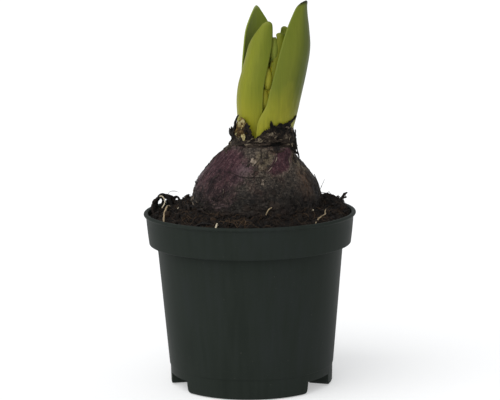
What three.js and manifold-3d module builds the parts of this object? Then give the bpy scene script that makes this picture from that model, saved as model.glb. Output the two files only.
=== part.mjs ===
// A potted hyacinth: one bulb coming into leaf in a thin plastic grower's pot of peat.
// Millimetres, +Z up. The origin is the middle of the pot's underside, and -Y is the front.
import * as THREE from 'three';
import { mergeVertices } from 'three/addons/utils/BufferGeometryUtils.js';
import Module from 'manifold-3d';

const wasm = await Module();
wasm.setup();

// Sizes that drive the rest
const seatGap = 0.4; // air between two pieces that touch
const overrun = 1; // how far a cutting shape runs past the face it cuts

const pot = {
  height: 73.6,
  rimRadius: 45,
  lipDrop: 1.3, // height of the lip bead
  lipProud: 0.95, // how far the bead stands out of the collar
  collarLowZ: 60.2,
  collarLowRadius: 42.9,
  wallTopRadius: 39.5,
  stepZ: 8.6, // fine step line above the feet
  stepRadius: 35.1,
  stepDepth: 0.25,
  footRadius: 33.9,
  footRound: 0.6,
  wall: 1,
  floorZ: 5, // underside of the raised base
  floorThick: 1.1,
  troughInner: 26.9, // each foot is a hollow trough between these two radii
  troughOuter: 33.1,
  footArc: 96.5,
  footPitch: 120,
  footFacing: -4.75, // middle of the front foot, degrees to the right of the front
  edge: 0.4, // rounding of the collar's lower edge and of the lip
  drainRadius: 2.6,
  drainRings: [13.5, 30.4],
  drainSides: 16,
  segments: 52,
};

const soil = {
  edgeZ: 72.1,
  heapHeight: 3.5, // rise from the pot's wall to the bulb
  heapWidth: 15,
  heaps: [ // local heaps: x, y, extra height, spread
    [-27.5, 8.5, 2.6, 4.2],
    [31.5, 8, 2.6, 5],
    [40, 9, 1.9, 4.5],
    [-14, 30, 1.2, 7],
    [18, -29, -0.8, 7],
  ],
  clodHeight: 2.1,
  clodWidth: 5.6,
  crumbHeight: 1.1,
  crumbWidth: 2.7,
  ringRadii: [41.2, 38.8, 36.2, 33.6, 31, 28.4, 24],
  edgeDrop: 1.6, // the peat falls away this much against the pot's wall
  edgeInset: 0.3,
  segments: 52,
};

const bulb = {
  axisX: 2.7,
  axisY: 1,
  neckShift: 2.75, // the neck leans this far to the right
  neckShiftZ: [91, 103],
  neckZ: 102.5,
  cupRadius: 12.9,
  cupFloorZ: 98,
  plateZ: 50.5,
  profile: [ // radius and height of the outline, from the basal plate to the neck
    [9, 50.5],
    [10.6, 51.8],
    [17.5, 55.6],
    [23, 60.5],
    [26.3, 67],
    [27.2, 73.5],
    [27.3, 78],
    [26.8, 83],
    [25.3, 87],
    [22.4, 91],
    [19.2, 95.2],
    [16.6, 98.6],
    [14.9, 101.2],
  ],
  outlineSteps: 18,
  segments: 48,
  veinCount: 17,
  veinHeight: 0.2,
  veinSway: 3,
  veinSwayRise: 8,
  dentHeight: 0.7,
  dentWidth: 9,
  reliefZ: [50, 60, 99, 102], // the relief fades in over the first two heights and out over the others
  cupLip: 1.4,
  rootCount: 7,
  rootRadius: 0.95,
  rootReach: 15,
  rootDrop: 31,
  rootPath: [[0.35, -0.05], [0.5, 0.18], [0.85, 0.6], [1, 1]], // shares of the reach and the drop
  rootSway: 0.35,
  rootRows: 6,
  holeSegments: 36,
};

// Leaves stand round the bulb's neck like staves. Each row is one station, from the base to the
// tip: height, axis x, axis y, reach from that axis, facing in degrees from +X, half width
// along the arc, and the cross-section's own radius.
const leafBaseZ = 98.4;
const leaves = {
  leaf_right: {
    thick: 1.9,
    stations: [
      [leafBaseZ, 4.8, 0, 10.5, -45, 9.2, 10.5],
      [104, 5.9, 0, 10.8, -42, 10.2, 10.8],
      [112, 7.7, 0, 11, -40, 11.3, 11],
      [121.4, 9.8, 0, 11, -39, 11.6, 11],
      [133, 12.5, 0, 11, -38, 11.4, 11],
      [143, 13.9, 0, 11, -35, 10.6, 11],
      [151, 13.5, 0, 11, -29, 8.7, 11],
      [156.5, 13, 0, 11.1, -25, 6, 9],
      [160, 12.8, 0, 11.4, -22, 3, 6],
      [161.8, 12.8, 0, 11.9, -20, 0.7, 3],
    ],
  },
  leaf_front_left: {
    thick: 1.9,
    stations: [
      [leafBaseZ, 4.4, 0, 9.7, -144, 7.7, 9.7],
      [104, 5.2, 0, 9.9, -143, 8, 9.9],
      [113, 5.8, 0, 10.1, -137, 8.3, 10.1],
      [121, 5.8, 0, 10.1, -135, 8.2, 10.1],
      [127, 6.5, 0, 10.1, -134, 7.9, 10.1],
      [133, 8, 0, 10.1, -133, 7.5, 10.1],
      [139.7, 9.4, 0, 10, -127.5, 6.8, 10],
      [144.1, 9.9, 0, 10, -121, 5.6, 9],
      [148.5, 10.3, 0, 10, -110, 3.9, 7],
      [152, 10.5, 0, 10, -102, 2.1, 4],
      [153.6, 10.5, 0, 9.8, -99, 0.8, 2.5],
    ],
  },
  leaf_back_left: {
    thick: 1.9,
    stations: [
      [leafBaseZ, 4.8, 0, 10.4, 113, 8.2, 10.4],
      [104, 5.9, 0, 10.8, 112, 8.6, 10.8],
      [113, 7.7, 0, 11, 113, 9, 11],
      [121, 8.1, 0, 11, 116, 9.2, 11],
      [131, 8.6, 0, 11, 121, 9.6, 11],
      [143.4, 9.8, 0, 11, 125, 9.3, 11],
      [149.8, 10.2, 0, 11, 128, 7.8, 11],
      [154, 10.5, 0, 11, 129, 5.2, 9],
      [158, 10.8, 0, 11, 129.5, 2, 6],
      [159.8, 10.8, 0, 11, 129.5, 0.7, 3],
    ],
  },
  leaf_inner_front: {
    thick: 1.5,
    stations: [
      [leafBaseZ, 5, 0, 7.8, -52, 4.4, 7.8],
      [112, 7.6, 0, 8.2, -52, 4.9, 8.2],
      [127, 9.5, 0, 8.4, -50, 5.2, 8.4],
      [136, 10.8, 0, 8.4, -49, 5.2, 8.4],
      [142, 11.5, 0, 8.4, -51, 4.8, 7],
      [145.5, 11.8, 0, 8.4, -60, 3.2, 4.5],
      [147.6, 12, 0, 8.3, -72, 1.2, 2.5],
    ],
  },
  leaf_inner_back: {
    thick: 1.5,
    stations: [
      [leafBaseZ, 5, 0, 7.8, 45, 6.2, 7.8],
      [112, 7.6, 0, 8.2, 45, 7, 8.2],
      [127, 9.5, 0, 8.4, 48, 7.4, 8.4],
      [138, 11, 0, 8.4, 55, 6.6, 8.4],
      [145, 12, 0, 8.4, 62, 4.4, 7],
      [148.6, 12.4, 0, 8.4, 66, 2.5, 4],
      [150.6, 12.6, 0, 8.4, 68, 1, 2.2],
    ],
  },
};
const leafColumns = 8;
const leafRows = 14;
const leafMargin = 0.8; // thickness along the margins
const paleScaleGrid = [4, 8];

const spike = {
  stalkRadius: 3.3,
  axis: [[leafBaseZ + 0.8, 5, 0], [112, 7.6, 0], [127, 9.5, 0], [138, 11, 0], [146, 12, 0]],
  headZ: [114, 145.5],
  headRadius: 4.2, // to the middles of the buds
  tiers: 6,
  budsInTier: 5,
  budRadius: 2.3,
  budLength: 4.6, // half of a bud's length
  budLean: 0.28,
  budTurn: 0.15,
  budGrid: [6, 4],
  slimTop: 0.45, // how much slimmer the head is at its top
  slimFoot: 0.15,
  stalkSides: 7,
  stalkRows: 6,
  stalkEnd: 3, // the stalk stops this far below the head's top
};

const neck = {
  ringZ: [102.9, 107.2],
  ringRadius: [12.75, 14.3],
  ringLean: 0.12, // sideways shift for each unit of height
  axisX: 5.6,
  // Where the ring of scales is low: facing, depth, spread. The first is where the front leaves meet.
  dips: [[-97, 2.5, 22], [-143, 2.4, 13]],
  raggedness: 1.6,
  tearing: 5,
  // Dry scales: facing, height of the tip, half width at the foot, flare of the tip
  scales: [
    [-178, 110.6, 3.4, 1.9],
    [-163, 112.6, 2.2, 0.5],
    [-124, 109.2, 2.6, 0.6],
    [-92, 105.8, 3.2, 0.5],
    [-70, 111.2, 1.9, 0.3],
    [-46, 110.4, 3.2, 0.7],
    [-22, 111.2, 3, 0.6],
    [-4, 113.2, 2.4, 1.3],
    [18, 109, 3.2, 1.6],
    [42, 111, 3, 1.6],
    [66, 107.8, 3.4, 1.8],
    [92, 110.4, 3, 1.2],
    [118, 108.2, 3.2, 1.9],
    [146, 110.6, 3, 1.4],
    [164, 107.8, 2.6, 2.2],
  ],
  rootLift: 0.6, // the scales start this far up in the ring
  tipHalfWidth: 0.5,
  thick: 0.8,
  columns: 2,
  rows: 4,
  ringSegments: 36,
};

// The strip of dead scale that hangs from the neck down over the bulb's right shoulder
const strip = {
  facing: -30,
  path: [[104.4, 13.8], [101.4, 16.2], [98.6, 18.1], [96, 20]], // height and reach from the bulb's axis
  halfWidth: 1.5,
  narrowing: 0.2, // of the width, from one point of the path to the next
};

const paleScale = { // the same columns as a leaf's stations
  thick: 0.7,
  stations: [
    [leafBaseZ, 4.5, 0, 11.6, -143, 1.6, 11.6],
    [104, 5.3, 0, 11.6, -143, 2.2, 11.6],
    [108, 5.7, 0, 11.8, -143, 2.7, 11.8],
    [111, 5.9, 0, 12, -142, 2, 10],
    [113.4, 6, 0, 12.3, -141, 0.6, 8],
  ],
};

const darkRoots = [ // points along each root or fibre that arches out of the peat, and its radius
  {
    radius: 0.85,
    path: [[-40, 8, 70.5], [-40.2, 9.5, 75], [-38.3, 10, 78.6], [-35.4, 10.5, 78], [-32.6, 9, 72.5]],
  },
  {
    radius: 0.7,
    path: [[-37.2, 13, 70.5], [-37.4, 12.5, 75], [-36.8, 11.5, 78.4], [-33.2, 13, 77.4], [-31.5, 15, 72]],
  },
  {
    radius: 0.6,
    path: [[-40.6, 2.5, 70], [-41.6, 4.5, 74.2], [-41.2, 6, 77.4]],
  },
  {
    radius: 0.6,
    path: [[-34.5, 15, 72], [-33, 14, 76.4], [-31, 13.5, 77.4], [-29, 13, 73.5]],
  },
  {
    radius: 0.55,
    path: [[37.6, 5, 71], [39, 6, 76.8], [40.6, 6.4, 79], [41.9, 6.5, 79.8]],
  },
  {
    radius: 0.5,
    path: [[39.2, 6, 76.9], [40.4, 5.4, 77.8], [41.5, 5, 78]],
  },
  {
    radius: 0.6,
    path: [[12, -38, 70.5], [7, -35, 74.4], [-1, -34.4, 74.4], [-6, -37, 70.5]],
  },
  {
    radius: 0.6,
    path: [[-23, -31, 70.5], [-20, -32.6, 74.2], [-14, -35, 74], [-10, -37.5, 70.5]],
  },
  {
    radius: 0.6,
    path: [[24, 28, 71], [20, 31, 75.4], [13, 33, 75.2], [8, 34.5, 70.5]],
  },
  {
    radius: 0.6,
    path: [[-9, 33, 71], [-14, 34, 76], [-21, 31, 75.8], [-25, 29, 70.5]],
  },
];
const rootSides = 5;
const rootSteps = 7;

const paleRoots = { // points on the peat: x, y and the height above it
  pale_root_left: {
    radius: 0.45,
    path: [[-35.6, -20.2, 0.4], [-36.1, -14, 0.3], [-35.4, -7, 1], [-33.9, 0, 2.2]],
  },
  pale_root_right: {
    radius: 0.42,
    path: [[26.8, -26.2, 0.4], [28.4, -19, 0.5], [30.8, -10.4, 0.4], [32.4, -3, 1.6]],
  },
  pale_root_front: {
    radius: 0.4,
    path: [[3.4, -33, 0.3], [6, -31.4, 0.4], [8.4, -30.6, 1.2]],
  },
};

const seeds = { veins: 3, dents: 5, roots: 7, buds: 9, clods: 11, crumbs: 12, tears: 21 };

const colours = {
  potPlastic: 0x2b302c,
  peat: 0x241a12,
  tunic: 0x4a2f3d,
  deadScale: 0x1d1814,
  paleScale: 0x9a8c66,
  leafLight: 0x7d8730,
  leafMid: 0x68742c,
  leafDark: 0x4c5a24,
  bud: 0x7b7e36,
  rootlet: 0xb8a889,
};

// Maths helpers

function smoothStep(low, high, value) {
  const t = THREE.MathUtils.clamp((value - low) / (high - low), 0, 1);
  return t * t * (3 - 2 * t);
}

function hash(ix, iy, seed) {
  const wave = Math.sin(ix * 127.1 + iy * 311.7 + seed * 74.7) * 43758.5453;
  return wave - Math.floor(wave);
}

// Smooth random relief between -0.5 and 0.5
function noise(x, y, seed) {
  const ix = Math.floor(x);
  const iy = Math.floor(y);
  const tx = smoothStep(0, 1, x - ix);
  const ty = smoothStep(0, 1, y - iy);
  const near = THREE.MathUtils.lerp(hash(ix, iy, seed), hash(ix + 1, iy, seed), tx);
  const far = THREE.MathUtils.lerp(hash(ix, iy + 1, seed), hash(ix + 1, iy + 1, seed), tx);
  return THREE.MathUtils.lerp(near, far, ty) - 0.5;
}

// The values of a list of stations at any height, on a smooth curve through them
function stationReader(stations) {
  const size = stations[0].length;
  const heights = stations.map((row) => row[0]);
  const curve = new THREE.CubicInterpolant(heights, stations.flat(), size);
  return (height) => Array.from(curve.evaluate(height));
}

// Solid helpers

function bare(geometry) {
  const copy = geometry.clone();
  copy.deleteAttribute('normal');
  copy.deleteAttribute('uv');
  return mergeVertices(copy);
}

function moved(geometry, move) {
  const copy = bare(geometry);
  const position = copy.attributes.position;
  const point = new THREE.Vector3();
  for (let i = 0; i < position.count; i += 1) {
    point.fromBufferAttribute(position, i);
    move(point);
    position.setXYZ(i, point.x, point.y, point.z);
  }
  return copy;
}

function solid(geometry) {
  const closed = bare(geometry);
  return new wasm.Manifold(new wasm.Mesh({
    numProp: 3,
    vertProperties: new Float32Array(closed.attributes.position.array),
    triVerts: new Uint32Array(closed.index.array),
  }));
}

function fused(solids) {
  return solids.reduce((whole, next) => whole.add(next));
}

function cutBy(whole, cutters) {
  return cutters.reduce((left, cutter) => left.subtract(cutter), whole);
}

function geometryOf(manifold) {
  const mesh = manifold.getMesh();
  const geometry = new THREE.BufferGeometry();
  geometry.setAttribute('position', new THREE.BufferAttribute(mesh.vertProperties, 3));
  geometry.setIndex(new THREE.BufferAttribute(mesh.triVerts, 1));
  return geometry;
}

// Turns [radius, height] pairs, which start and end on the axis, into a body round +Z
function turned(outline, segments) {
  const points = outline.map(([radius, height]) => new THREE.Vector2(radius, height));
  return new THREE.LatheGeometry(points, segments).rotateX(Math.PI / 2);
}

function rod(radius, lowZ, highZ, sides) {
  const geometry = new THREE.CylinderGeometry(radius, radius, highZ - lowZ, sides);
  return geometry.rotateX(Math.PI / 2).translate(0, 0, (highZ + lowZ) / 2);
}

// Part of a flat ring: facing is measured from the front, positive to the right
function ringSector(innerRadius, outerRadius, facing, arc, lowZ, highZ) {
  const middle = THREE.MathUtils.degToRad(facing - 90);
  const half = THREE.MathUtils.degToRad(arc / 2);
  const shape = new THREE.Shape();
  shape.absarc(0, 0, outerRadius, middle - half, middle + half, false);
  shape.absarc(0, 0, innerRadius, middle + half, middle - half, true);
  shape.closePath();
  const curveSegments = Math.ceil((arc / 360) * pot.segments);
  const options = { depth: highZ - lowZ, bevelEnabled: false, curveSegments };
  return new THREE.ExtrudeGeometry(shape, options).translate(0, 0, lowZ);
}

// Carries both ends of a path straight on
function lengthened(path, extra) {
  const points = path.map((point) => new THREE.Vector3(...point));
  const last = points.length - 1;
  const ahead = points[0].clone().sub(points[1]).setLength(extra);
  const behind = points[last].clone().sub(points[last - 1]).setLength(extra);
  points[0].add(ahead);
  points[last].add(behind);
  return points.map((point) => point.toArray());
}

function tube(path, radius, sides, steps) {
  const curve = new THREE.CatmullRomCurve3(path.map((point) => new THREE.Vector3(...point)));
  const section = new THREE.Shape();
  for (let i = 0; i < sides; i += 1) {
    const turn = (2 * Math.PI * i) / sides;
    const place = [radius * Math.cos(turn), radius * Math.sin(turn)];
    if (i === 0) {
      section.moveTo(...place);
    } else {
      section.lineTo(...place);
    }
  }
  section.closePath();
  return new THREE.ExtrudeGeometry(section, { steps, extrudePath: curve, curveSegments: 1 });
}

// Pot

function potOutline() {
  const collarTop = pot.rimRadius - pot.lipProud;
  return [
    [0, 0],
    [pot.footRadius, 0],
    [pot.footRadius + pot.footRound, pot.footRound],
    [pot.stepRadius - pot.stepDepth, pot.stepZ - pot.stepDepth],
    [pot.stepRadius, pot.stepZ],
    [pot.wallTopRadius, pot.collarLowZ - pot.edge],
    [pot.collarLowRadius - pot.edge, pot.collarLowZ],
    [pot.collarLowRadius, pot.collarLowZ + pot.edge],
    [collarTop, pot.height - pot.lipDrop - pot.edge],
    [pot.rimRadius, pot.height - pot.lipDrop],
    [pot.rimRadius, pot.height - pot.edge],
    [pot.rimRadius - pot.edge, pot.height],
    [0, pot.height],
  ];
}

// The same wall seen from inside, moved in by inset
function cavityOutline(inset) {
  const topRadius = pot.rimRadius - pot.lipProud - pot.wall - inset;
  const floor = pot.floorZ + pot.floorThick + inset;
  const slope = (pot.wallTopRadius - pot.stepRadius) / (pot.collarLowZ - pot.stepZ);
  const floorRadius = pot.stepRadius - pot.wall - inset - slope * (pot.stepZ - floor);
  return [
    [0, floor],
    [floorRadius, floor],
    [pot.wallTopRadius - pot.wall - inset, pot.collarLowZ + pot.wall / 2 + inset],
    [pot.collarLowRadius - pot.wall - inset, pot.collarLowZ + pot.wall + inset],
    [topRadius, pot.height - pot.lipDrop],
  ];
}

function footFacings() {
  return [0, 1, 2].map((index) => pot.footFacing + index * pot.footPitch);
}

function troughs(inset, lowZ, highZ) {
  const endWall = THREE.MathUtils.radToDeg((pot.wall + inset) / pot.troughInner);
  const arc = pot.footArc - 2 * endWall;
  return footFacings().map((facing) => solid(
    ringSector(pot.troughInner + inset, pot.troughOuter - inset, facing, arc, lowZ, highZ),
  ));
}

function potNotches() {
  const arc = pot.footPitch - pot.footArc;
  const inner = pot.troughInner - pot.wall - overrun;
  const outer = pot.rimRadius;
  return footFacings().map((facing) => solid(
    ringSector(inner, outer, facing + pot.footPitch / 2, arc, -overrun, pot.floorZ),
  ));
}

function drainHoles() {
  const [middleRing, notchRing] = pot.drainRings;
  const holes = [];
  for (const facing of footFacings()) {
    for (const [ring, turn] of [[middleRing, facing], [notchRing, facing + pot.footPitch / 2]]) {
      const angle = THREE.MathUtils.degToRad(turn - 90);
      const hole = rod(
        pot.drainRadius,
        pot.floorZ - overrun,
        pot.floorZ + pot.floorThick + overrun,
        pot.drainSides,
      );
      hole.translate(ring * Math.cos(angle), ring * Math.sin(angle), 0);
      holes.push(solid(hole));
    }
  }
  return holes;
}

function makePot() {
  const cavity = [
    ...cavityOutline(0),
    [pot.rimRadius - pot.lipProud - pot.wall, pot.height + overrun],
    [0, pot.height + overrun],
  ];
  const recess = rod(pot.troughInner - pot.wall, -overrun, pot.floorZ, pot.segments);
  const body = solid(turned(potOutline(), pot.segments));
  return cutBy(body, [
    solid(turned(cavity, pot.segments)),
    solid(recess),
    ...troughs(0, pot.floorThick, pot.floorZ + pot.floorThick + overrun),
    ...potNotches(),
    ...drainHoles(),
  ]);
}

// Bulb

// How far the bulb's axis has moved over to the neck's, from 0 to 1
function neckLean(z) {
  return smoothStep(...bulb.neckShiftZ, z);
}

function bulbOutline(extra) {
  const curve = new THREE.SplineCurve(bulb.profile.map(([radius, z]) => new THREE.Vector2(radius, z)));
  return curve.getPoints(bulb.outlineSteps).map((point) => [point.x + extra, point.y]);
}

// Fine upright veins and slack dents in the skin
function bulbRelief(angle, z) {
  const [fadeInLow, fadeInHigh, fadeOutLow, fadeOutHigh] = bulb.reliefZ;
  const fade = smoothStep(fadeInLow, fadeInHigh, z) * (1 - smoothStep(fadeOutLow, fadeOutHigh, z));
  const sway = bulb.veinSway * noise(z / bulb.veinSwayRise, 0, seeds.veins);
  const veins = Math.cos(angle * bulb.veinCount + sway);
  const round = bulb.profile[6][0] / bulb.dentWidth;
  const dents = noise(round * Math.cos(angle), round * Math.sin(angle) + z / bulb.dentWidth, seeds.dents);
  return fade * (bulb.veinHeight * veins + bulb.dentHeight * dents);
}

function placeOnBulbAxis(point) {
  const lean = neckLean(point.z);
  point.x += bulb.axisX + bulb.neckShift * lean;
  point.y += bulb.axisY * (1 - lean);
}

function bulbBody() {
  const outline = [
    [0, bulb.plateZ],
    ...bulbOutline(0),
    [bulb.cupRadius + bulb.cupLip, bulb.neckZ],
    [bulb.cupRadius, bulb.neckZ],
    [bulb.cupRadius, bulb.cupFloorZ],
    [0, bulb.cupFloorZ],
  ];
  return moved(turned(outline, bulb.segments), (point) => {
    const radius = Math.hypot(point.x, point.y);
    if (radius > bulb.cupRadius + bulb.cupLip / 2) {
      const swell = 1 + bulbRelief(Math.atan2(point.y, point.x), point.z) / radius;
      point.x *= swell;
      point.y *= swell;
    }
    placeOnBulbAxis(point);
  });
}

function bulbRoots(extra) {
  const roots = [];
  for (let i = 0; i < bulb.rootCount; i += 1) {
    const angle = (2 * Math.PI * i) / bulb.rootCount + hash(i, 1, seeds.roots);
    const reach = bulb.rootReach * THREE.MathUtils.lerp(0.75, 1.25, hash(i, 2, seeds.roots));
    const drop = bulb.rootDrop * THREE.MathUtils.lerp(0.7, 1, hash(i, 3, seeds.roots));
    const bend = bulb.rootSway * (hash(i, 4, seeds.roots) - 0.5);
    const path = bulb.rootPath.map(([out, down]) => {
      const sway = angle + bend * (out - bulb.rootPath[0][0]);
      return [
        bulb.axisX + reach * out * Math.cos(sway),
        bulb.axisY + reach * out * Math.sin(sway),
        bulb.plateZ - drop * down,
      ];
    });
    const root = tube(lengthened(path, extra), bulb.rootRadius + extra, rootSides, bulb.rootRows);
    roots.push(solid(root));
  }
  return roots;
}

function makeBulb() {
  return fused([solid(bulbBody()), ...bulbRoots(0)]);
}

// The plain hole in the peat that the bulb and its roots stand in
function bulbHole() {
  const clearance = seatGap + bulb.dentHeight / 2 + bulb.veinHeight;
  const wall = bulbOutline(clearance).filter(([, z]) => z < bulb.neckShiftZ[0]);
  const topRadius = wall[wall.length - 1][0];
  const outline = [
    [0, bulb.plateZ - seatGap],
    [wall[0][0], bulb.plateZ - seatGap],
    ...wall.slice(1),
    [topRadius, bulb.neckShiftZ[0]],
    [0, bulb.neckShiftZ[0]],
  ];
  const hole = moved(turned(outline, bulb.holeSegments), placeOnBulbAxis);
  return [solid(hole), ...bulbRoots(seatGap)];
}

// Peat

function soilTop(x, y) {
  const fromBulb = Math.hypot(x - bulb.axisX, y - bulb.axisY);
  const nearBulb = bulb.profile[6][0];
  let z = soil.edgeZ + soil.heapHeight * (1 - smoothStep(nearBulb, nearBulb + soil.heapWidth, fromBulb));
  for (const [heapX, heapY, height, spread] of soil.heaps) {
    z += height * Math.exp(-((x - heapX) ** 2 + (y - heapY) ** 2) / (2 * spread ** 2));
  }
  const clods = noise(x / soil.clodWidth, y / soil.clodWidth, seeds.clods);
  const crumbs = noise(x / soil.crumbWidth, y / soil.crumbWidth, seeds.crumbs);
  return z + soil.clodHeight * clods + soil.crumbHeight * crumbs;
}

function soilBody() {
  const wall = cavityOutline(seatGap);
  const rings = soil.ringRadii.map((radius) => [radius, soil.edgeZ]);
  const edge = [wall[wall.length - 1][0] - soil.edgeInset, soil.edgeZ - soil.edgeDrop];
  const outline = [...wall.slice(0, 4), edge, ...rings, [0, soil.edgeZ]];
  return moved(turned(outline, soil.segments), (point) => {
    if (point.z > soil.edgeZ - soil.edgeDrop / 2) {
      point.z = soilTop(point.x, point.y);
    }
  });
}

function makeSoil(straws) {
  const insideFloor = pot.floorZ + pot.floorThick;
  const fills = troughs(seatGap, pot.floorThick + seatGap, insideFloor + seatGap + overrun);
  const roots = darkRoots.map(({ radius, path }) => solid(tube(path, radius, rootSides, rootSteps)));
  const whole = fused([solid(soilBody()), ...fills, ...roots]);
  return cutBy(whole, [...bulbHole(), ...straws]);
}

// Leaves

// One thick curved blade. read gives its station values at a height.
function bladeGeometry(read, lowZ, highZ, thick, margin, columns, rows) {
  const outer = [];
  const inner = [];
  for (let row = 0; row <= rows; row += 1) {
    const even = row / rows;
    const share = (even + Math.sin((Math.PI / 2) * even)) / 2; // rows lie closer together near the tip
    const [z, axisX, axisY, reach, facing, halfWidth, bend] = read(lowZ + (highZ - lowZ) * share);
    const out = THREE.MathUtils.degToRad(facing);
    for (let column = 0; column <= columns; column += 1) {
      const across = (2 * column) / columns - 1;
      const turn = out + (across * halfWidth) / bend;
      const half = (margin + (thick - margin) * (1 - across ** 2)) / 2;
      const centreX = axisX + (reach - bend) * Math.cos(out);
      const centreY = axisY + (reach - bend) * Math.sin(out);
      const place = (radius) => [centreX + radius * Math.cos(turn), centreY + radius * Math.sin(turn), z];
      outer.push(place(bend + half));
      inner.push(place(bend - half));
    }
  }
  return blockGeometry(outer, inner, columns, rows);
}

// Closes two matching grids of points, both split into triangles alike, into one body
function blockGeometry(outer, inner, columns, rows) {
  const wide = columns + 1;
  const back = outer.length;
  const index = [];
  const quad = (a, b, c, d) => index.push(a, b, c, a, c, d);
  for (let row = 0; row < rows; row += 1) {
    for (let column = 0; column < columns; column += 1) {
      const corner = row * wide + column;
      quad(corner, corner + 1, corner + wide + 1, corner + wide);
      index.push(back + corner, back + corner + wide + 1, back + corner + 1);
      index.push(back + corner, back + corner + wide, back + corner + wide + 1);
    }
    const left = row * wide;
    const right = left + columns;
    quad(left, left + wide, back + left + wide, back + left);
    quad(right, back + right, back + right + wide, right + wide);
  }
  const top = rows * wide;
  for (let column = 0; column < columns; column += 1) {
    quad(column, back + column, back + column + 1, column + 1);
    quad(top + column, top + column + 1, back + top + column + 1, back + top + column);
  }
  const geometry = new THREE.BufferGeometry();
  const position = new Float32Array([...outer, ...inner].flat());
  geometry.setAttribute('position', new THREE.BufferAttribute(position, 3));
  geometry.setIndex(index);
  return geometry;
}

function makeLeaf({ stations, thick }) {
  const tip = stations[stations.length - 1][0];
  return bladeGeometry(stationReader(stations), leafBaseZ, tip, thick, leafMargin, leafColumns, leafRows);
}

// Flower spike

function spikeAxis(z) {
  return stationReader(spike.axis)(z);
}

function spikeStalk() {
  const top = spikeAxis(spike.headZ[1] - spike.stalkEnd);
  const path = [...spike.axis.slice(0, -1), top].map(([z, x, y]) => [x, y, z]);
  return solid(tube(path, spike.stalkRadius, spike.stalkSides, spike.stalkRows));
}

function spikeBud(tier, place) {
  const share = tier / (spike.tiers - 1);
  const [lowZ, highZ] = spike.headZ;
  const z = THREE.MathUtils.lerp(lowZ + spike.budLength, highZ - spike.budLength, share);
  const slimmer = spike.slimTop * smoothStep(0.6, 1, share) + spike.slimFoot * smoothStep(0.3, 0, share);
  const taper = 1 - slimmer;
  const evenTurn = (2 * Math.PI * (place + (tier % 2) / 2)) / spike.budsInTier;
  const turn = evenTurn + spike.budTurn * hash(tier, place, seeds.buds);
  const [, axisX, axisY] = spikeAxis(z);
  const bud = new THREE.SphereGeometry(1, ...spike.budGrid).rotateX(Math.PI / 2);
  bud.scale(spike.budRadius * taper, spike.budRadius * taper, spike.budLength);
  bud.rotateY(THREE.MathUtils.lerp(spike.budLean, spike.budLean / 2, share));
  bud.translate(spike.headRadius * taper, 0, 0).rotateZ(turn).translate(axisX, axisY, z);
  return solid(bud);
}

function makeSpike() {
  const buds = [];
  for (let tier = 0; tier < spike.tiers; tier += 1) {
    for (let place = 0; place < spike.budsInTier; place += 1) {
      buds.push(spikeBud(tier, place));
    }
  }
  return fused([spikeStalk(), ...buds]);
}

// Dry scales round the neck

function neckScale([facing, tipZ, halfFoot, flare]) {
  const [inner, outer] = neck.ringRadius;
  const middle = (inner + outer) / 2;
  const lowZ = neck.ringZ[0] + neck.rootLift;
  const midZ = (lowZ + tipZ) / 2;
  const tipX = neck.axisX + (tipZ - lowZ) * neck.ringLean;
  const midX = (neck.axisX + tipX) / 2;
  const midHalf = (halfFoot + neck.tipHalfWidth) / 2;
  const stations = [
    [lowZ, neck.axisX, 0, middle, facing, halfFoot, middle],
    [midZ, midX, 0, middle + flare / 2, facing, midHalf, middle],
    [tipZ, tipX, 0, middle + flare, facing, neck.tipHalfWidth, middle],
  ];
  const read = stationReader(stations);
  return solid(bladeGeometry(read, lowZ, tipZ, neck.thick, neck.thick, neck.columns, neck.rows));
}

function neckRing() {
  const [inner, outer] = neck.ringRadius;
  const [low, high] = neck.ringZ;
  const outline = [[inner, low], [outer, low], [outer, high], [inner, high], [inner, low]];
  return solid(moved(turned(outline, neck.ringSegments), (point) => {
    const angle = Math.atan2(point.y, point.x);
    if (point.z > (low + high) / 2) {
      for (const [facing, depth, spread] of neck.dips) {
        const away = THREE.MathUtils.radToDeg(angle) - facing;
        point.z -= depth * Math.exp(-(away ** 2) / (2 * spread ** 2));
      }
      const [tearX, tearY] = [neck.tearing * Math.cos(angle), neck.tearing * Math.sin(angle)];
      point.z += neck.raggedness * noise(tearX, tearY, seeds.tears);
    }
    point.x += neck.axisX + (point.z - low) * neck.ringLean;
  }));
}

function hangingStrip() {
  const side = THREE.MathUtils.degToRad(strip.facing);
  const across = new THREE.Vector3(-Math.sin(side), Math.cos(side), 0);
  const outer = [];
  const inner = [];
  strip.path.forEach(([z, reach], row) => {
    const half = strip.halfWidth * (1 - strip.narrowing * row);
    for (const shift of [-half, half]) {
      for (const [list, radius] of [[outer, reach + neck.thick / 2], [inner, reach - neck.thick / 2]]) {
        const x = bulb.axisX + bulb.neckShift * neckLean(z) + radius * Math.cos(side) + across.x * shift;
        list.push([x, radius * Math.sin(side) + across.y * shift, z]);
      }
    }
  });
  return solid(blockGeometry(inner, outer, 1, strip.path.length - 1));
}

function makeNeckScales() {
  return fused([neckRing(), hangingStrip(), ...neck.scales.map(neckScale)]);
}

function makePaleScale() {
  const { stations, thick } = paleScale;
  const tip = stations[stations.length - 1][0];
  return bladeGeometry(stationReader(stations), leafBaseZ, tip, thick, thick, ...paleScaleGrid);
}

// Assembly

function mesh(name, shape, colour, roughness) {
  const geometry = shape.isBufferGeometry ? shape : geometryOf(shape);
  const look = { color: colour, roughness, metalness: 0, flatShading: true };
  const material = new THREE.MeshStandardMaterial(look);
  const piece = new THREE.Mesh(geometry, material);
  piece.name = name;
  return piece;
}

const strawGeometry = (grow) => Object.values(paleRoots).map(({ radius, path }) => {
  const points = path.map(([x, y, lift]) => [x, y, soilTop(x, y) + lift]);
  return tube(lengthened(points, grow), radius + grow, rootSides, rootSteps);
});

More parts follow.
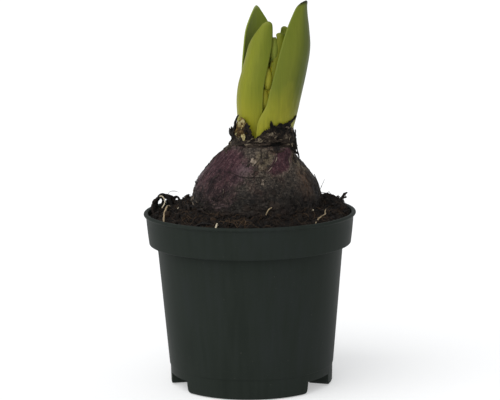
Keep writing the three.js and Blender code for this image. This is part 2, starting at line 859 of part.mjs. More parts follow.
const plant = new THREE.Group();
plant.name = 'potted_hyacinth';
plant.add(mesh('pot', makePot(), colours.potPlastic, 0.55));
plant.add(mesh('soil', makeSoil(strawGeometry(seatGap).map(solid)), colours.peat, 0.95));
plant.add(mesh('bulb', makeBulb(), colours.tunic, 0.7));
plant.add(mesh('neck_scales', makeNeckScales(), colours.deadScale, 0.85));
plant.add(mesh('pale_scale', makePaleScale(), colours.paleScale, 0.8));
plant.add(mesh('leaf_right', makeLeaf(leaves.leaf_right), colours.leafMid, 0.45));
plant.add(mesh('leaf_front_left', makeLeaf(leaves.leaf_front_left), colours.leafLight, 0.45));
plant.add(mesh('leaf_back_left', makeLeaf(leaves.leaf_back_left), colours.leafDark, 0.45));
plant.add(mesh('leaf_inner_front', makeLeaf(leaves.leaf_inner_front), colours.leafMid, 0.45));
plant.add(mesh('leaf_inner_back', makeLeaf(leaves.leaf_inner_back), colours.leafMid, 0.45));
plant.add(mesh('flower_spike', makeSpike(), colours.bud, 0.5));
strawGeometry(0).forEach((geometry, index) => {
  plant.add(mesh(Object.keys(paleRoots)[index], bare(geometry), colours.rootlet, 0.8));
});

export default plant;
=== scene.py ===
import math
import random

import bmesh
import bpy
import numpy as np
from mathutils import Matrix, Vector


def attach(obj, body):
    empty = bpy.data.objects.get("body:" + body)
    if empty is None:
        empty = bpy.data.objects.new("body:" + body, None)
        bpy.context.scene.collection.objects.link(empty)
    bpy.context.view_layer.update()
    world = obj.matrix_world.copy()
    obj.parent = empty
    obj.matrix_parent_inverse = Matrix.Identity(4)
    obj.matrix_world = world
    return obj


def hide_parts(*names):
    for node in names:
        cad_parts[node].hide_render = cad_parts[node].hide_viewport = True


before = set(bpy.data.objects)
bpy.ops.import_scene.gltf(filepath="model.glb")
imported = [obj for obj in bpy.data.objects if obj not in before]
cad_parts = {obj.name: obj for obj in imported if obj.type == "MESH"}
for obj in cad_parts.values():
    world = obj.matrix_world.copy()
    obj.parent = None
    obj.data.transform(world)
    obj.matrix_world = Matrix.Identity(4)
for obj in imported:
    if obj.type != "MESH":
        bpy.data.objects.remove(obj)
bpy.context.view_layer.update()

mm = 0.001
tiny = 1e-9  # keeps a division by a length safe
nearlyNone = 0.001  # too short to give a direction


# small maths used by every piece

def smoothStep(low, high, value):
    t = np.clip((np.asarray(value, float) - low) / (high - low), 0, 1)
    return t * t * (3 - 2 * t)


hashPrimes = (374761393, 668265263, 1440662683, 974634777)  # one for each axis, and one for the seed
hashStir = 1274126177
lowBits = 0xFFFF


# a number from 0 to 1 for each whole-numbered place
def latticeValue(ix, iy, iz, seed):
    primeX, primeY, primeZ, primeSeed = hashPrimes
    n = ix * primeX + iy * primeY + iz * primeZ + seed * primeSeed
    n = (n ^ (n >> 13)) * hashStir
    n = n ^ (n >> 16)
    return (n & lowBits) / float(lowBits)


# value noise between -0.5 and 0.5; points is (..., 3), size is the width of one bump
def softNoise(points, size, seed, octaves=1):
    finer, weaker, seedStep = 2.03, 0.5, 17
    total = 0.0
    weight = 1.0
    for octave in range(octaves):
        p = np.asarray(points, float) / size
        cell = np.floor(p).astype(np.int64)
        f = p - cell
        f = f * f * (3 - 2 * f)
        value = 0.0
        for dx in (0, 1):
            for dy in (0, 1):
                for dz in (0, 1):
                    share = (np.abs(1 - dx - f[..., 0]) * np.abs(1 - dy - f[..., 1])
                             * np.abs(1 - dz - f[..., 2]))
                    value = value + share * latticeValue(
                        cell[..., 0] + dx, cell[..., 1] + dy, cell[..., 2] + dz, seed + octave * seedStep)
        total = total + weight * (value - 0.5)
        size = size / finer
        weight *= weaker
    return total


# three coordinates of any matching shapes as one (..., 3) array
def xyz(x, y, z):
    return np.stack(np.broadcast_arrays(np.asarray(x, float), y, z), -1)


# points at a radius and a turn round an upright axis
def polar(radius, turn, z, x=0, y=0):
    return xyz(x + radius * np.cos(turn), y + radius * np.sin(turn), z)


# even turns round a full circle
def fullTurn(count):
    return np.arange(count) * 2 * math.pi / count


# a random tone near a middle one
def nearTone(dice, middle, spread, low=0.0, high=1.0):
    return min(high, max(low, dice.gauss(middle, spread)))


# the steps of a sheet: v from 0 to 1 along it and u from -1 to 1 across it
def sheetSteps(rows, cols):
    return np.linspace(0, 1, rows)[:, None], np.linspace(-1, 1, cols)[None, :]


# smooth curve through rows of numbers, the first column being what it is read at
def readStations(stations, at):
    rows = np.array(stations, float)
    heights = rows[:, 0]
    last = len(rows) - 1
    out = []
    for value in np.clip(at, heights[0], heights[-1]):
        i1 = min(int(np.searchsorted(heights, value, side="right")), last)
        i0 = i1 - 1
        t0, t1 = heights[i0], heights[i1]
        iPrev = i0 - 1 if i0 > 0 else i1
        iNext = i1 + 1 if i1 < last else i0
        tPrev = heights[i0 - 1] if i0 > 0 else t1
        tNext = heights[i1 + 1] if i1 < last else t0
        half = (t1 - t0) / 2
        wPrev = half / (t0 - tPrev)
        wNext = half / (tNext - t1)
        p = (value - t0) / (t1 - t0)
        out.append(
            (-wPrev * p ** 3 + 2 * wPrev * p ** 2 - wPrev * p) * rows[iPrev]
            + ((1 + wPrev) * p ** 3 + (-1.5 - 2 * wPrev) * p ** 2 + (-0.5 + wPrev) * p + 1) * rows[i0]
            + ((-1 - wNext) * p ** 3 + (1.5 + wNext) * p ** 2 + 0.5 * p) * rows[i1]
            + (wNext * p ** 3 - wNext * p ** 2) * rows[iNext])
    return np.array(out)


# even steps along a Catmull-Rom curve through points
def curvePoints(points, count):
    pts = np.array(points, float)
    ends = np.vstack([2 * pts[0] - pts[1], pts, 2 * pts[-1] - pts[-2]])
    out = []
    for t in np.linspace(0, len(pts) - 1, count):
        i = min(int(t), len(pts) - 2)
        f = t - i
        a, b, c, d = ends[i:i + 4]
        out.append(0.5 * (2 * b + (c - a) * f + (2 * a - 5 * b + 4 * c - d) * f * f
                          + (3 * b - a - 3 * c + d) * f ** 3))
    return np.array(out)


# mesh code: a batch collects the points, faces and point data of one piece
def newBatch():
    return {"verts": [], "faces": [], "count": 0, "data": {}}


# adds a grid of points (rows, columns, 3); wrap joins the last column to the first.
# caps: "fan" closes both ends to their middles, "strip" zips each end's two halves together
def addGrid(batch, points, wrap=False, caps="", data=None, flip=False):
    rows, cols = points.shape[:2]
    base = batch["count"]
    verts = [points.reshape(-1, 3)]
    a = np.arange(rows - 1)[:, None] * cols + np.arange(cols if wrap else cols - 1)[None, :]
    right = a + 1
    if wrap:
        right = np.where((a % cols) == cols - 1, a - cols + 1, a + 1)
    quads = np.stack([a, right, right + cols, a + cols], -1).reshape(-1, 4) + base
    if flip:
        quads = quads[:, ::-1]
    faces = quads.tolist()
    extra = 0
    for row in (0, rows - 1) if caps else ():
        ring = (base + row * cols + np.arange(cols)).tolist()
        if caps == "fan":
            centre = base + rows * cols + extra
            verts.append(points[row].mean(0)[None, :])
            made = [[centre, ring[i], ring[(i + 1) % cols]] for i in range(cols)]
            extra += 1
        else:
            made = [[ring[i], ring[i + 1], ring[cols - 2 - i], ring[cols - 1 - i]]
                    for i in range(cols // 2 - 1)]
        backward = (row == 0) != flip
        faces.extend([face[::-1] for face in made] if backward else made)
    batch["verts"].append(np.vstack(verts))
    batch["faces"].extend(faces)
    batch["count"] += rows * cols + extra
    values = data or {}
    for name in set(batch["data"]) | set(values):
        if name not in batch["data"]:
            batch["data"][name] = [np.zeros(base)]
        value = values.get(name, 0.0)
        flat = np.broadcast_to(np.asarray(value, float), (rows, cols)).reshape(-1)
        tail = np.full(extra, float(flat.mean())) if extra else np.zeros(0)
        batch["data"][name].append(np.concatenate([flat, tail]))


# an object in the scene, from a mesh, a camera or a lamp
def placeObject(name, data):
    made = bpy.data.objects.new(name, data)
    bpy.context.scene.collection.objects.link(made)
    return made


# turns a batch into a shaded object that rides on the body; sharp is the angle of a hard edge
def finishMesh(name, batch, material, sharp=None):
    mesh = bpy.data.meshes.new(name)
    verts = np.vstack(batch["verts"]) * mm
    mesh.from_pydata(verts.tolist(), [], batch["faces"])
    for key, parts in batch["data"].items():
        made = mesh.attributes.new(key, "FLOAT", "POINT")
        made.data.foreach_set("value", np.concatenate(parts))
    mesh.validate()
    mesh.shade_smooth()
    if sharp is not None:
        mesh.set_sharp_from_angle(angle=math.radians(sharp))
    mesh.materials.append(material)
    piece = placeObject(name, mesh)
    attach(piece, "root")
    print("made", name, len(mesh.polygons), "faces")
    return piece


# a tube of rings along a path; radius may be one number or one for each point
def addTube(batch, path, radius, sides=6, data=None):
    path = np.asarray(path, float)
    radius = np.broadcast_to(np.asarray(radius, float), (len(path),))
    along = np.gradient(path, axis=0)
    along /= np.linalg.norm(along, axis=1)[:, None] + tiny
    up = np.array([0.13, 0.21, 0.97])  # any direction that no path starts along
    rings = []
    for p, t, r in zip(path, along, radius):
        side = np.cross(t, up)
        if np.linalg.norm(side) < nearlyNone:
            side = np.cross(t, [1.0, 0, 0])
        side /= np.linalg.norm(side)
        up = np.cross(side, t)
        turn = fullTurn(sides)
        rings.append(p + r * (np.cos(turn)[:, None] * side + np.sin(turn)[:, None] * up))
    addGrid(batch, np.array(rings), wrap=True, caps="fan", data=data, flip=True)


# a sheet's values on its front and again on its back
def bothFaces(value, shape):
    full = np.broadcast_to(np.asarray(value, float), shape)
    return np.concatenate([full, full[:, ::-1]], axis=1)


# closes a single sheet of points into a thin shell, thick along its own normals
def addSheet(batch, sheet, thick, data=None):
    du = np.gradient(sheet, axis=1)
    dv = np.gradient(sheet, axis=0)
    normal = np.cross(du, dv)
    normal /= np.linalg.norm(normal, axis=2)[:, :, None] + tiny
    thick = np.broadcast_to(np.asarray(thick, float), sheet.shape[:2])
    front = sheet + normal * thick[:, :, None] / 2
    back = sheet - normal * thick[:, :, None] / 2
    ring = np.concatenate([front, back[:, ::-1]], axis=1)
    values = {key: bothFaces(value, thick.shape) for key, value in (data or {}).items()}
    addGrid(batch, ring, wrap=True, caps="strip", data=values)


# camera, light and floor

camera = {
    "place": (0, -746.07, 198.4),  # mm
    "pitch": 0.160,  # radians below the horizon
    "roll": 0.012,
    "lens": 128.29,
    "sensor": 36,
    "shiftX": 0.0007,
    "near": 0.05,
    "far": 50,
}


def makeCamera():
    data = bpy.data.cameras.new("viewCamera")
    data.lens = camera["lens"]
    data.sensor_width = camera["sensor"]
    data.shift_x = camera["shiftX"]
    data.clip_start = camera["near"]
    data.clip_end = camera["far"]
    eye = placeObject("viewCamera", data)
    eye.location = Vector(camera["place"]) * mm
    eye.rotation_mode = "XYZ"
    eye.rotation_euler = (math.pi / 2 - camera["pitch"], 0, 0)
    eye.rotation_euler.rotate_axis("Z", -camera["roll"])
    bpy.context.scene.camera = eye
    print("camera set")


light = {
    "keyFrom": (-0.75, -0.75, 0.95),
    "keyPower": 1.9,
    "keySoft": 75,
    "fillFrom": (0.8, -0.9, 0.5),
    "fillPower": 0.1,
    "fillSoft": 60,
    "worldSeen": 1,
    "worldLight": 0.68,
    "worldTint": (0.96, 0.98, 1, 1),
}


def makeSoftLamp(name, comesFrom, power, softness):
    data = bpy.data.lights.new(name, "SUN")
    data.energy = power
    data.angle = math.radians(softness)
    lamp = placeObject(name, data)
    lamp.rotation_euler = (-Vector(comesFrom)).to_track_quat("-Z", "Y").to_euler()


def makeLight():
    makeSoftLamp("keyLight", light["keyFrom"], light["keyPower"], light["keySoft"])
    makeSoftLamp("fillLight", light["fillFrom"], light["fillPower"], light["fillSoft"])
    world = bpy.data.worlds.new("studio")
    bpy.context.scene.world = world
    world.use_nodes = True
    tree = world.node_tree
    tree.nodes.clear()
    seen = tree.nodes.new("ShaderNodeBackground")
    seen.inputs["Color"].default_value = (1, 1, 1, 1)
    seen.inputs["Strength"].default_value = light["worldSeen"]
    glow = tree.nodes.new("ShaderNodeBackground")
    glow.inputs["Color"].default_value = light["worldTint"]
    glow.inputs["Strength"].default_value = light["worldLight"]
    ray = tree.nodes.new("ShaderNodeLightPath")
    mix = tree.nodes.new("ShaderNodeMixShader")
    out = tree.nodes.new("ShaderNodeOutputWorld")
    tree.links.new(ray.outputs["Is Camera Ray"], mix.inputs["Fac"])
    tree.links.new(glow.outputs[0], mix.inputs[1])
    tree.links.new(seen.outputs[0], mix.inputs[2])
    tree.links.new(mix.outputs[0], out.inputs["Surface"])
    bpy.context.scene.view_settings.view_transform = "Standard"
    print("lights set")


floor = {"half": 9, "below": 0.0003, "grey": 0.62, "rough": 0.8, "glow": 0.4}  # metres


def makeFloor():
    h = floor["half"]
    paint = startMaterial("studioFloor", floor["rough"], sockets={
        "Base Color": grey(floor["grey"]), "Emission Color": grey(1.0),
        "Emission Strength": floor["glow"]})[0]
    mesh = bpy.data.meshes.new("studioFloor")
    mesh.from_pydata([(-h, -h, 0), (h, -h, 0), (h, h, 0), (-h, h, 0)], [], [(0, 1, 2, 3)])
    mesh.materials.append(paint)
    sheet = placeObject("studioFloor", mesh)
    sheet.location = (0, 0, -floor["below"])
    print("floor laid")


# materials

# one material with a Principled shader; returns it with two helpers, node and join
def startMaterial(name, roughness, shine=0.5, sockets=None):
    material = bpy.data.materials.new(name)
    material.use_nodes = True
    tree = material.node_tree
    shader = tree.nodes["Principled BSDF"]
    shader.inputs["Roughness"].default_value = roughness
    shader.inputs["Specular IOR Level"].default_value = shine
    for key, value in (sockets or {}).items():
        shader.inputs[key].default_value = value

    def node(kind, values=None, **settings):
        made = tree.nodes.new(kind)
        for key, value in settings.items():
            setattr(made, key, value)
        for key, value in (values or {}).items():
            if hasattr(value, "is_output"):
                tree.links.new(value, made.inputs[key])
            else:
                made.inputs[key].default_value = value
        return made

    def join(output, socket):
        tree.links.new(output, shader.inputs[socket])

    return material, node, join


# a screen colour, 0 to 255, as the linear value that a shader wants
def colour(r, g, b):
    def linear(v):
        v = v / 255
        return v / 12.92 if v <= 0.04045 else ((v + 0.055) / 1.055) ** 2.4
    return (linear(r), linear(g), linear(b), 1)


def grey(v):
    return (v, v, v, 1)


# noise in object space, stretched by a scale for each axis
def objectNoise(node, scale, detail=3.0, rough=0.55, stretch=(1, 1, 1), distort=0.0):
    place = node("ShaderNodeTexCoord").outputs["Object"]
    turned = node("ShaderNodeMapping", {"Vector": place, "Scale": stretch}).outputs["Vector"]
    made = node("ShaderNodeTexNoise", {"Vector": turned, "Scale": scale, "Detail": detail,
                                       "Roughness": rough, "Distortion": distort})
    return made.outputs["Fac"]


# a ramp through stops of (place, linear colour)
def ramp(node, fac, stops):
    made = node("ShaderNodeValToRGB", {"Fac": fac})
    bar = made.color_ramp
    bar.interpolation = "LINEAR"
    while len(bar.elements) < len(stops):
        bar.elements.new(0.5)
    for element, (at, value) in zip(bar.elements, stops):
        element.position = at
        element.color = value
    return made.outputs["Color"]


# a ramp through stops of (place, red, green, blue), the colours being 0 to 255
def paintRamp(node, fac, stops):
    return ramp(node, fac, [(at, colour(r, g, b)) for at, r, g, b in stops])


# a ramp through stops of (place, shade), the shades being 0 to 1
def shadeRamp(node, fac, *stops):
    return ramp(node, fac, [(at, grey(shade)) for at, shade in stops])


def mixColour(node, fac, a, b, mode="MIX"):
    return node("ShaderNodeMix", {0: fac, 6: a, 7: b}, data_type="RGBA", blend_type=mode).outputs[2]


def maths(node, kind, a, b=0.0, c=None):
    values = {0: a, 1: b} if c is None else {0: a, 1: b, 2: c}
    return node("ShaderNodeMath", values, operation=kind).outputs[0]


def times(node, a, b):
    return maths(node, "MULTIPLY", a, b)


def plus(node, a, b):
    return maths(node, "ADD", a, b)


# adds a noise, centred on nought and weighed, to a value
def stray(node, value, noise, weight):
    return plus(node, value, times(node, maths(node, "SUBTRACT", noise, 0.5), weight))


# multiplies a colour by another where share is 1
def tint(node, share, base, other):
    return mixColour(node, share, base, mixColour(node, 1.0, base, other, "MULTIPLY"))


# reads a named value that the mesh carries at each point
def layer(node, name):
    return node("ShaderNodeAttribute", attribute_name=name).outputs["Fac"]


def bump(node, join, height, strength, distance):
    made = node("ShaderNodeBump", {"Height": height, "Strength": strength, "Distance": distance})
    join(made.outputs["Normal"], "Normal")


# the pot, in mm
pot = {
    "height": 73.6,
    "rimRadius": 45,
    "beadHeight": 1.5,
    "beadProud": 0.95,
    "collarLowZ": 60.2,
    "collarLowRadius": 42.9,
    "collarRound": 0.5,
    "shelfRound": 0.72,
    "wallTopRadius": 39.5,
    "stepZ": 8.6,
    "stepRadius": 35.1,
    "stepRound": 0.16,
    "footRadius": 33.9,
    "footRound": 0.7,
    "floorZ": 5,
    "floorThick": 1.1,
    "floorRound": 0.4,
    "wall": 1,
    "troughInner": 26.9,
    "troughOuter": 33.1,
    "footArc": 95,
    "feet": 3,
    "notchRound": 2.1,
    "notchNeckZ": 3.2,
    "footPitch": 120,
    "footFacing": -4.4,  # degrees to the right of the front
    "drainRadius": 2.6,
    "drainRings": (13.5, 30.4),
    "drainSides": 32,
    "segments": 264,
    "edgeRound": 0.00025,  # metres
    "bevelAngle": 50,
    "hardAngle": 35,
}
potColours = {
    "shine": 0.045,
    "rough": (0.44, 0.58),
    "plastic": ((0.3, 28, 33, 29), (0.5, 33, 38, 34), (0.72, 37, 41, 40)),
    "dust": colour(96, 94, 88),
    "dustShare": 0.25,
}


# points of an arc in radius and height; angles in degrees
def arc(centreR, centreZ, radius, fromDeg, toDeg, count):
    turn = np.radians(np.linspace(fromDeg, toDeg, count))
    return [(centreR + radius * math.cos(t), centreZ + radius * math.sin(t)) for t in turn]


# closed outline of the pot's wall in radius and height, before its feet are cut
def potOutline():
    top, wall, stepR, stepZ = pot["height"], pot["wall"], pot["stepRadius"], pot["stepZ"]
    lowR, lowZ, floorZ, ease = pot["collarLowRadius"], pot["collarLowZ"], pot["floorZ"], pot["floorRound"]
    bead = pot["beadHeight"] / 2
    beadFoot = top - pot["beadHeight"]
    collarTop = pot["rimRadius"] - pot["beadProud"]
    slope = (pot["wallTopRadius"] - stepR) / (lowZ - stepZ)
    inFloor = floorZ + pot["floorThick"]
    inFloorR = stepR - wall - slope * (stepZ - inFloor)
    ringIn = pot["troughInner"] - wall
    # the raised base, the inner side of the feet and their soles
    outer = [(0, floorZ), (20.0, floorZ), (ringIn - ease, floorZ), (ringIn, floorZ - ease), (ringIn, 0.3)]
    outer += [(ringIn + 0.3, 0), (pot["footRadius"] - 2, 0)]
    outer += arc(pot["footRadius"], pot["footRound"], pot["footRound"], -90, -5, 6)
    # the fine step near the foot, and the tapered wall
    outer += [(stepR - 0.34, stepZ - 0.5), (stepR - 0.28, stepZ - 0.22)]
    outer += arc(stepR - pot["stepRound"], stepZ + 0.02, pot["stepRound"], -70, 0, 4)
    for share in (0.25, 0.5, 0.75, 0.93):
        z = stepZ + share * (lowZ - stepZ)
        outer.append((stepR + slope * (z - stepZ), z))
    # the shelf under the collar, the collar and the lip's bead
    outer += arc(pot["wallTopRadius"] + 0.7, lowZ - 0.9, pot["shelfRound"], 180, 90, 6)
    outer += arc(lowR - pot["collarRound"], lowZ + 0.35, pot["collarRound"], -90, 0, 6)
    for share in (0.35, 0.7):
        outer.append((lowR + share * (collarTop - lowR) + 0.05, lowZ + share * (beadFoot - lowZ)))
    outer += [(collarTop - 0.05, beadFoot - 0.5), (collarTop + 0.12, beadFoot - 0.08)]
    outer += arc(pot["rimRadius"] - bead, top - bead, bead, -60, 100, 12)
    # back down inside
    innerTop = collarTop - wall
    outer += [(pot["rimRadius"] - 1.2, top - 0.03), (innerTop + 0.45, top - 0.12),
              (innerTop + 0.1, top - 0.4)]
    outer += [(innerTop, top - 1.1), (lowR - wall, lowZ + wall + 0.6), (lowR - wall - 0.6, lowZ + wall)]
    outer += [(pot["wallTopRadius"] - wall + 0.5, lowZ + wall - 0.1),
              (pot["wallTopRadius"] - wall, lowZ + 0.2)]
    outer += [(inFloorR, inFloor), (0, inFloor)]
    return np.array(outer)


# turns an outline round the upright axis
def lathe(outline, segments):
    turn = fullTurn(segments)
    return polar(outline[:, 0][:, None], turn, outline[:, 1][:, None])


# a block between two radii and two heights over part of the round; facing is from the front
def addSector(batch, innerR, outerR, facing, arcDeg, lowZ, highZ):
    steps = max(3, int(arcDeg / 360 * pot["segments"]))
    turn = np.radians(facing - 90 + np.linspace(-arcDeg / 2, arcDeg / 2, steps))
    corners = ((innerR, lowZ), (outerR, lowZ), (outerR, highZ), (innerR, highZ))
    rows = [polar(r, turn, z) for r, z in corners]
    addGrid(batch, np.stack(rows, 1), wrap=True, caps="strip", flip=True)


# the gap between two feet: a loft through (height, half the gap in degrees)
def addNotch(batch, innerR, outerR, facing, levels):
    rows = []
    for z, half in levels:
        turn = np.radians(facing - 90 + np.linspace(-half, half, 14))
        rows.append(np.concatenate([polar(innerR, turn, z), polar(outerR, turn, z)[::-1]]))
    addGrid(batch, np.array(rows), wrap=True, caps="strip")


# a plain object that takes part in a cut
def looseObject(name, batch):
    mesh = bpy.data.meshes.new(name)
    mesh.from_pydata((np.vstack(batch["verts"]) * mm).tolist(), [], batch["faces"])
    return placeObject(name, mesh)


# everything that is cut out of the pot: the hollows of its feet, the notches and the drain holes
def potCutters():
    cutters = newBatch()
    inFloor = pot["floorZ"] + pot["floorThick"]
    endWall = math.degrees(pot["wall"] / pot["troughInner"])
    half = (pot["footPitch"] - pot["footArc"]) / 2
    soften = [(pot["notchRound"] * (1 - math.sin(t)), pot["notchRound"] * (1 - math.cos(t)))
              for t in np.radians(np.linspace(0, 80, 7))]
    levels = [(pot["floorZ"], half + 0.4), (pot["notchNeckZ"], half + 0.7)]
    levels += [(z, half + 1.0 + math.degrees(d / pot["footRadius"])) for z, d in soften]
    levels += [(-1, levels[-1][1])]
    innerRing, outerRing = pot["drainRings"]
    for index in range(pot["feet"]):
        facing = pot["footFacing"] + index * pot["footPitch"]
        between = facing + pot["footPitch"] / 2
        addSector(cutters, pot["troughInner"], pot["troughOuter"], facing, pot["footArc"] - 2 * endWall,
                  pot["floorThick"], inFloor + 1)
        addNotch(cutters, pot["troughInner"] - pot["wall"] - 1.5, pot["rimRadius"], between, levels)
        for ring, turn, fromZ in ((innerRing, facing, pot["floorZ"] - 0.5),
                                  (outerRing, between, pot["floorZ"] + 0.01)):
            turnAt = math.radians(turn - 90)
            outline = np.array([(pot["drainRadius"], fromZ), (pot["drainRadius"], inFloor + 0.8)])
            hole = lathe(outline, pot["drainSides"])
            hole[..., 0] += ring * math.cos(turnAt)
            hole[..., 1] += ring * math.sin(turnAt)
            addGrid(cutters, hole, wrap=True, caps="fan")
    return cutters


# mould streaks, cloudy patches and dust on dull plastic
def potPlastic():
    material, node, join = startMaterial("potPlastic", 0.5, potColours["shine"])
    streaks = objectNoise(node, 420, detail=2, stretch=(1, 1, 0.03))
    clouds = objectNoise(node, 38, detail=4, stretch=(1, 1, 0.5))
    specks = objectNoise(node, 1500, detail=1)
    blend = plus(node, times(node, streaks, 0.35), times(node, clouds, 0.65))
    base = paintRamp(node, blend, potColours["plastic"])
    dust = shadeRamp(node, specks, (0.74, 0), (0.82, 1))
    join(mixColour(node, times(node, dust, potColours["dustShare"]), base, potColours["dust"]), "Base Color")
    join(shadeRamp(node, blend, (0.25, potColours["rough"][0]), (0.75, potColours["rough"][1])), "Roughness")
    bump(node, join, plus(node, times(node, streaks, 0.8), times(node, specks, 0.4)), 0.25, 0.00012)
    return material


def makePot():
    batch = newBatch()
    outline = potOutline()
    addGrid(batch, lathe(outline, pot["segments"]), wrap=True)
    body = looseObject("pot_shell", batch)
    weld = bmesh.new()
    weld.from_mesh(body.data)
    bmesh.ops.remove_doubles(weld, verts=weld.verts, dist=1e-6)
    weld.to_mesh(body.data)
    weld.free()
    cutter = looseObject("pot_cutter", potCutters())
    tool = body.modifiers.new("feet", "BOOLEAN")
    tool.operation = "DIFFERENCE"
    tool.solver = "EXACT"
    tool.object = cutter
    edge = body.modifiers.new("edge", "BEVEL")
    edge.width = pot["edgeRound"]
    edge.segments = 2
    edge.limit_method = "ANGLE"
    edge.angle_limit = math.radians(pot["bevelAngle"])
    done = body.evaluated_get(bpy.context.evaluated_depsgraph_get())
    mesh = bpy.data.meshes.new_from_object(done)
    mesh.name = "pot_shell"
    body.modifiers.clear()
    body.data = mesh
    bpy.data.objects.remove(cutter)
    mesh.shade_smooth()
    mesh.set_sharp_from_angle(angle=math.radians(pot["hardAngle"]))
    mesh.materials.clear()
    mesh.materials.append(potPlastic())
    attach(body, "root")
    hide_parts("pot")
    print("made pot_shell", len(mesh.polygons), "faces")


# the leaves
leafBaseZ = 98.4
# each row: height, the axis' x, reach from that axis, facing in degrees from +X, half width along
# the arc, and the cross-section's own radius
leaves = {
    "leaf_right": {
        "thick": 1.9, "seed": 3,
        "stations": [
            [leafBaseZ, 4.8, 10.5, -45, 9.2, 10.5], [104, 5.9, 10.8, -42, 10.2, 10.8],
            [112, 7.7, 11.35, -40, 11.7, 11.35], [121.4, 9.8, 11.45, -39, 12.05, 11.45],
            [133, 12.5, 11.45, -38, 11.85, 11.45], [143, 13.9, 11.45, -35, 11.2, 11.45],
            [151, 13.5, 11.4, -29, 9.4, 11.4], [156.5, 13, 11.7, -25.5, 6.9, 9],
            [160, 13, 11.9, -24.5, 4.6, 6], [161.3, 13.1, 12.1, -24, 3.1, 4.5],
            [162.2, 13.2, 12.2, -24, 1.8, 3],
        ],
        "lap": (120.5, 111.5, 9.8, 1.2),
    },
    "leaf_front_left": {
        "thick": 1.9, "seed": 5,
        "stations": [
            [leafBaseZ, 4.4, 9.7, -144, 7.7, 9.7], [104, 5.2, 9.9, -143, 8, 9.9],
            [113, 5.8, 10.1, -137, 8.3, 10.1], [121, 5.8, 10.35, -135, 8.3, 10.35],
            [127, 6.5, 10.45, -134, 8, 10.45], [133, 8, 10.4, -133, 7.5, 10.4],
            [139.7, 9.2, 10.1, -128, 6.6, 10.1], [144.1, 9.5, 10, -121, 5.8, 9],
            [148.5, 9.8, 10, -111, 4.2, 7], [152, 10, 10, -103, 2.6, 4],
            [154, 10.1, 9.8, -99, 1.4, 2.5],
        ],
    },
    "leaf_back_left": {
        "thick": 1.9, "seed": 8,
        "stations": [
            [leafBaseZ, 4.8, 10.4, 113, 8.2, 10.4], [104, 5.9, 10.8, 112, 8.6, 10.8],
            [113, 7.7, 11, 113, 9, 11], [121, 8.1, 11, 116, 9.2, 11],
            [131, 8.6, 11.3, 123, 9.4, 11.3], [143.4, 9.8, 11.4, 129, 8.8, 11.4],
            [149.8, 10.2, 11.1, 129, 7.5, 11.1], [154, 10.5, 11, 129, 4.9, 9],
            [158, 10.8, 11, 129.5, 2, 6], [159.8, 10.8, 11, 129.5, 0.7, 3],
        ],
    },
    "leaf_inner_front": {
        "thick": 1.5, "seed": 11,
        "stations": [
            [leafBaseZ, 5, 7.8, -52, 4.4, 7.8], [112, 7.6, 8.2, -52, 4.9, 8.2],
            [127, 9.1, 8.4, -50, 5.6, 8.4], [136, 10.1, 8.5, -51, 5.6, 8.4],
            [142, 10.8, 8.6, -54, 4.9, 7], [146.2, 11.1, 8.6, -63, 3.1, 4.5],
            [149.2, 11.4, 8.5, -78, 1.7, 2.5],
        ],
    },
    "leaf_inner_back": {
        "thick": 1.5, "seed": 14,
        "stations": [
            [leafBaseZ, 5, 7.8, 45, 6.2, 7.8], [112, 7.6, 8.2, 45, 7, 8.2],
            [127, 9.5, 8.4, 48, 7.4, 8.4], [138, 11.1, 8.4, 52, 6, 8.4],
            [145, 11.9, 8.4, 59, 3.5, 7], [148.6, 12.4, 8.4, 63, 2.4, 4],
            [150.9, 12.1, 8.4, 66, 1.4, 2.2],
        ],
    },
}
leafGrid = {
    "rows": 120,
    "across": 40,
    "margin": 0.7,  # thickness at the leaf's edge
    "rib": 0.055,
    "ribCount": 17,
    "swell": 0.275,
    "channel": 0.1,
    "channelWidth": 0.16,
    "tipRound": 1.1,
}
# colours are 0 to 255; shade holds the painted shade, what the leaf's own colour is multiplied by from its
# left edge to its right, darkest on the flank that turns away from the light
leafColours = {
    "leafLight": {
        "base": ((0, 146, 139, 30), (0.18, 146, 139, 30), (0.45, 128, 130, 34), (1, 110, 118, 34)),
        "tip": colour(116, 122, 48), "streak": colour(92, 98, 24), "margin": 0.12,
        "shade": ((0, (1.04, 1, 1, 1)), (0.5, (0.93, 0.94, 0.95, 1)), (0.72, (0.74, 0.78, 0.78, 1)),
                  (0.88, (0.64, 0.7, 0.7, 1))),
    },
    "leafRight": {
        "base": ((0, 146, 141, 38), (0.18, 146, 141, 38), (0.45, 104, 110, 34), (1, 103, 111, 33)),
        "tip": colour(26, 21, 16), "streak": colour(78, 86, 24), "margin": 0.1,
        "shade": ((0, (0.9, 0.94, 0.95, 1)), (0.26, (0.98, 0.99, 1, 1)), (0.35, (0.84, 0.86, 0.84, 1)),
                  (0.44, (0.6, 0.65, 0.52, 1)), (0.65, (0.46, 0.51, 0.33, 1)), (1, (0.36, 0.42, 0.22, 1))),
    },
    "leafDark": {
        "base": ((0, 136, 142, 46), (0.18, 136, 142, 46), (0.45, 136, 146, 55), (1, 122, 133, 50)),
        "tip": colour(140, 146, 92), "streak": colour(84, 98, 30), "margin": 0.06,
        "shade": ((0, (1, 1, 1, 1)), (1, (1, 1, 1, 1))),
    },
}
leafDress = {
    "leaf_right": "leafRight",
    "leaf_front_left": "leafLight",
    "leaf_back_left": "leafDark",
    "leaf_inner_front": "leafLight",
    "leaf_inner_back": "leafLight",
}


# fine ribs, a shallow channel along the middle and slow swells
def leafRelief(across, z, seed):
    ribs = np.cos(across * leafGrid["ribCount"] * math.pi + softNoise(xyz(across * 2, z, 0), 14, seed))
    channel = np.exp(-(across / leafGrid["channelWidth"]) ** 2)
    swell = softNoise(xyz(across * 6, z, seed), 11, seed + 1)
    return leafGrid["rib"] * ribs + leafGrid["swell"] * swell - leafGrid["channel"] * channel


